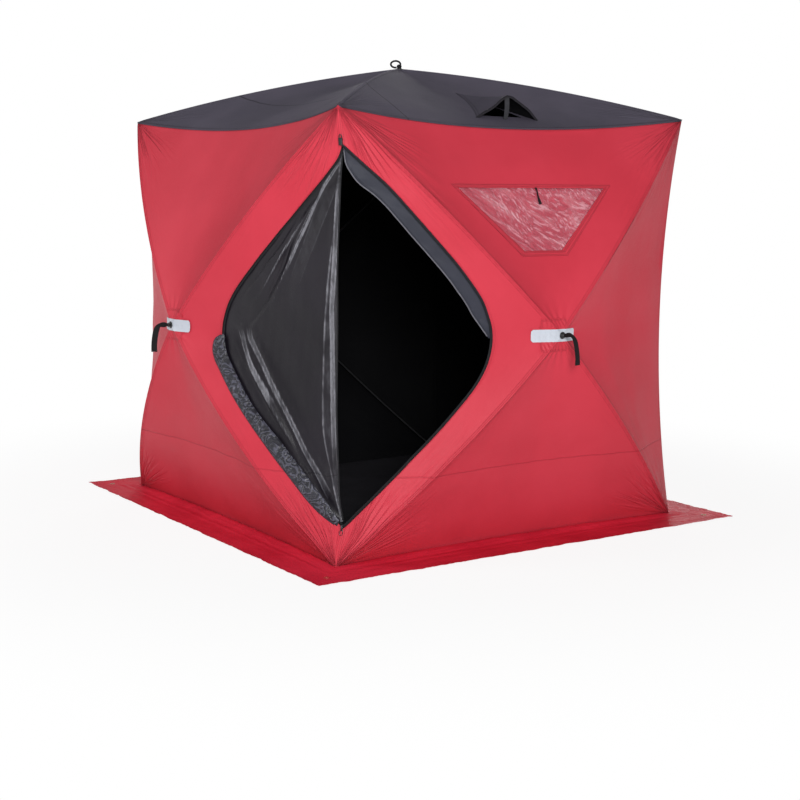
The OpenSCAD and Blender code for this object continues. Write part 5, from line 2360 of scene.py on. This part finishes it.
@dataclass
class Ground(Work):
    """The snow skirt round the walls' foot and the floor sheet inside."""

    thickness: float = 0.0010
    profile: Rows = (
        (0.0005, 0.0035), (0.0050, 0.0120), (0.0105, 0.0165), (0.017, 0.0190), (0.024, 0.0195),
        (0.033, 0.0180), (0.042, 0.0150), (0.051, 0.0108), (0.060, 0.0070), (0.074, 0.0042),
        (0.090, 0.0030), (0.14, 0.0028), (0.198, 0.0028))

    def skirt(self, wall: Wall) -> None:
        """Builds one side of the skirt: a puckered roll, then flat on the ground.

        Args:
            wall: The wall.
        """
        hut = self.hut
        shape = np.array(self.profile)
        d_line = np.concatenate([np.linspace(0.0005, 0.066, 22)[:-1], np.linspace(0.066, hut.skirt, 24)])
        d, u = np.meshgrid(d_line, Shell.crowded(230, 0.2), indexing="ij")
        z = np.interp(d, shape[:, 0], shape[:, 1])
        full = 0.25 + 0.75 * np.sqrt(np.clip(arch(u), 0, 1))
        z = np.where(z > 0.003, 0.003 + (z - 0.003) * full, z)
        run = (2 * u - 1) * hut.half
        start = 1.0 + 1.7 * wall.value

        def uneven(stretch: float, depth: float, size: float, shift: float) -> Array:
            """Unevenness of that size, drawn out along the wall or away from it."""
            return wander(np.stack([run * stretch, 0 * d, d * depth], -1), size, start + shift)

        ragged = 0.0028 * uneven(1.0, 0.0, 0.10, 0.0)
        outer = eased((d - 0.10) / (hut.skirt - 0.10))
        d_out = d + ragged * outer
        a = (2 * u - 1) * (hut.half + d_out)
        o = hut.half + d_out - hut.foot_inset * arch(u) * np.maximum(0, 1 - d / 0.12)
        long = uneven(0.22, 1.0, 0.052, 2.0)
        small = uneven(1.0, 0.35, 0.055, 4.0)
        tiny = uneven(1.0, 1.0, 0.026, 5.0)
        on_roll = eased(d / 0.01) * eased((0.085 - d) / 0.03)
        z = z + full * on_roll * (0.0018 * (1 - np.abs(long)) ** 2 + 0.0010 * small + 0.0004 * tiny)
        beyond = eased((d - 0.055) / 0.03)
        calm = 1 - 0.8 * np.exp(-((((np.abs(a) - hut.eyelet) / 0.03) ** 2 + ((d - 0.11) / 0.03) ** 2)))
        lift = 0.0020 * (1 - np.abs(uneven(0.5, 1.0, 0.13, 7.0))) ** 2
        z = z + beyond * calm * (lift + 0.0010 * np.abs(tiny))
        crease = np.exp(-(((d - 0.078 - 0.004 * small) / 0.007) ** 2))
        z = z + 0.0042 * full * crease * (0.75 + 0.25 * long)
        edge_curl = np.exp(-((hut.skirt - d) / 0.006)) * (0.0012 + 0.0015 * np.abs(small))
        z = z + edge_curl * calm
        points = wall.room(np.stack([a, o, np.maximum(z, 0.0016)], -1))
        piece = self.sewing.cloth(
            f"{wall.word}_skirt_cloth", [Grid(points, np.minimum(d, hut.skirt - d))],
            [self.finishes.skirt],
            self.sewing.downwards(self.thickness),
        )
        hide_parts(f"skirt_{wall.word}")
        area = (2 * hut.half + hut.skirt) * hut.skirt * 1.04
        2 * (hut.half + hut.skirt)
        hut.skirt * 1.08
        LOG.info("%s skirt: %.3f square metres", wall.word, area)

    def floor(self) -> None:
        """Builds the floor sheet, out to the walls' foot."""
        hut = self.hut
        v, u = np.meshgrid(np.linspace(-1, 1, 70), np.linspace(-1, 1, 70), indexing="ij")
        edge = hut.half * 0.9955
        x = u * (edge - hut.foot_inset * (1 - v * v) * np.abs(u))
        y = v * (edge - hut.foot_inset * (1 - u * u) * np.abs(v))
        flat = np.stack([x, y, 0 * x], -1)
        rim = eased((1 - np.maximum(np.abs(u), np.abs(v))) / 0.05)
        z = 0.0018 + rim * (0.0030 * (1 - np.abs(wander(flat * 0.8, 0.42, 3.0)))**2
                            + 0.0008 * np.abs(wander(flat, 0.11, 5.0)))
        points = np.stack([x, y, z], -1)
        piece = self.sewing.cloth(
            "floor_sheet_cloth", [Grid(points, 0.1 + 0 * x)], [self.finishes.floor],
            self.sewing.downwards(0.0010, 0.0004),
        )
        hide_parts("floor_sheet")
        Grid(flat, x).area()

    def build(self) -> None:
        """Builds the skirt and the floor."""
        for wall in Wall:
            self.skirt(wall)
        self.floor()


@dataclass
class Frame:
    """The poles, hubs, corner fittings and eyelets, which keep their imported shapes."""

    finishes: Finishes

    def dress(self) -> None:
        """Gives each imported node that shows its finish."""
        moulded = ("wall_hubs", "roof_hub", "corner_fittings")
        poles = [f"poles_{side}" for side in ("front", "left", "back", "right", "roof")]
        dressed = dict.fromkeys(moulded, self.finishes.plastic)
        dressed["skirt_eyelets"] = self.finishes.brass
        dressed |= dict.fromkeys(poles, self.finishes.rod)
        for name, material in dressed.items():
            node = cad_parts[name]
            node.data.materials.clear()
            node.data.materials.append(material)
            LOG.info("%s: %s", name, material.name)


@dataclass(frozen=True)
class Studio:
    """The camera, the pale floor and the lamps."""

    place: Triple = (-3.795, -5.488, 1.470)
    heading: float = 32.69
    dip: float = 6.96
    roll: float = 0.335
    lens: float = 64.2
    shift: tuple[float, float] = (0.0656, -0.0469)

    def camera(self) -> None:
        """Sets up the camera."""
        data = bpy.data.cameras.new("studio_camera")
        data.lens = self.lens
        data.sensor_width = 36.0
        data.shift_x, data.shift_y = self.shift
        data.clip_end = 200.0
        camera = linked("studio_camera", data)
        turn = (
            Matrix.Rotation(math.radians(-self.heading), 4, "Z")
            @ Matrix.Rotation(math.radians(90.0 - self.dip), 4, "X")
            @ Matrix.Rotation(math.radians(self.roll), 4, "Z")
        )
        camera.matrix_world = Matrix.Translation(self.place) @ turn
        bpy.context.scene.camera = camera

    def ground(self) -> None:
        """Lays the pale floor, which turns plain white away from the hut."""
        mesh = bpy.data.meshes.new("studio_floor")
        far = 60.0
        mesh.from_pydata([(-far, -far, 0), (far, -far, 0), (far, far, 0), (-far, far, 0)], [],
                         [(0, 1, 2, 3)])
        floor = linked("studio_floor", mesh)
        graph = Graph("studio_floor")
        _, x, y, _ = graph.place()
        away = graph.node("ShaderNodeMath", {"operation": "SQRT"}, {0: x * x + y * y})
        seen = graph.ray("Is Camera Ray").larger(graph.ray("Is Glossy Ray"))
        white = Value(graph, away.outputs[0]).eased(1.5, 3.2, 0.88, 1.0) * seen
        paint = graph.node("ShaderNodeBsdfDiffuse", None, {0: (0.85, 0.85, 0.85, 1.0)})
        glow = graph.node("ShaderNodeEmission", None, {0: WHITE, 1: 1.0})
        mixed = graph.node("ShaderNodeMixShader", None,
                           {0: white, 1: paint.outputs[0], 2: glow.outputs[0]})
        graph.node("ShaderNodeOutputMaterial", None, {0: mixed.outputs[0]})
        mesh.materials.append(graph.owner)

    @staticmethod
    def sky(strength: float) -> None:
        """Sets the even light from all round.

        Args:
            strength: Its strength on the object; it looks white in itself.
        """
        graph = Graph("studio_world", world=True)
        bpy.context.scene.world = graph.owner
        seen = graph.ray("Is Camera Ray").larger(graph.ray("Is Transmission Ray"))
        lift = graph.node("ShaderNodeMapRange", None, {0: seen, 3: strength, 4: 1.0})
        glow = graph.node("ShaderNodeBackground", None, {0: WHITE, 1: lift.outputs[0]})
        graph.node("ShaderNodeOutputWorld", None, {0: glow.outputs[0]})

    @staticmethod
    def lamp(name: str, azimuth: float, elevation: float, distance: float, size: float,
             power: float) -> None:
        """Adds a soft square lamp that faces the hut.

        Args:
            name: The lamp's name.
            azimuth: Its direction, 0 in front and 90 to the right, in degrees.
            elevation: Its height above the horizon, in degrees.
            distance: How far away it is.
            size: Its side.
            power: Its power in watts.
        """
        data = bpy.data.lights.new(name, "AREA")
        data.shape = "SQUARE"
        data.size = size
        data.energy = power
        lamp = linked(name, data)
        a, e = math.radians(azimuth), math.radians(elevation)
        way = np.array([math.sin(a) * math.cos(e), -math.cos(a) * math.cos(e), math.sin(e)])
        target = np.array([0.0, 0.0, 0.9])
        place = target + way * distance
        turn = Matrix.Rotation(a, 4, "Z") @ Matrix.Rotation(math.pi / 2 - e, 4, "X")
        lamp.matrix_world = Matrix.Translation(place) @ turn

    def light(self) -> None:
        """Lights the hut: a key near the camera, and fills from the sides and behind."""
        self.sky(0.29)
        self.lamp("key", -28.0, 13.0, 8.5, 2.4, 440.0)
        self.lamp("side", -112.0, 28.0, 8.5, 3.5, 190.0)
        self.lamp("back", 140.0, 15.0, 8.5, 3.5, 280.0)

    def build(self) -> None:
        """Sets the view transform, the floor and the lamps."""
        bpy.context.scene.view_settings.view_transform = "Standard"
        self.ground()
        self.light()


def write_sizes() -> None:
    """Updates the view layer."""
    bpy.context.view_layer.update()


def main() -> None:
    """Builds the hut in order, and its studio."""
    logging.basicConfig(level=logging.INFO, format="%(message)s")
    studio = Studio()
    studio.camera()
    hut = HutShape.from_frame()
    sewing = Sewing(hut)
    finishes = Finishes()
    RoofLoop(sewing, finishes).build()
    window = Window(sewing, finishes)
    Shell(sewing, finishes).build(window)
    Roof(sewing, finishes).build()
    window.build()
    Door(sewing, finishes).build()
    HubTrim(sewing, finishes).build()
    Ground(sewing, finishes).build()
    Frame(finishes).dress()
    studio.build()
    write_sizes()


if __name__ == "__main__":
    main()
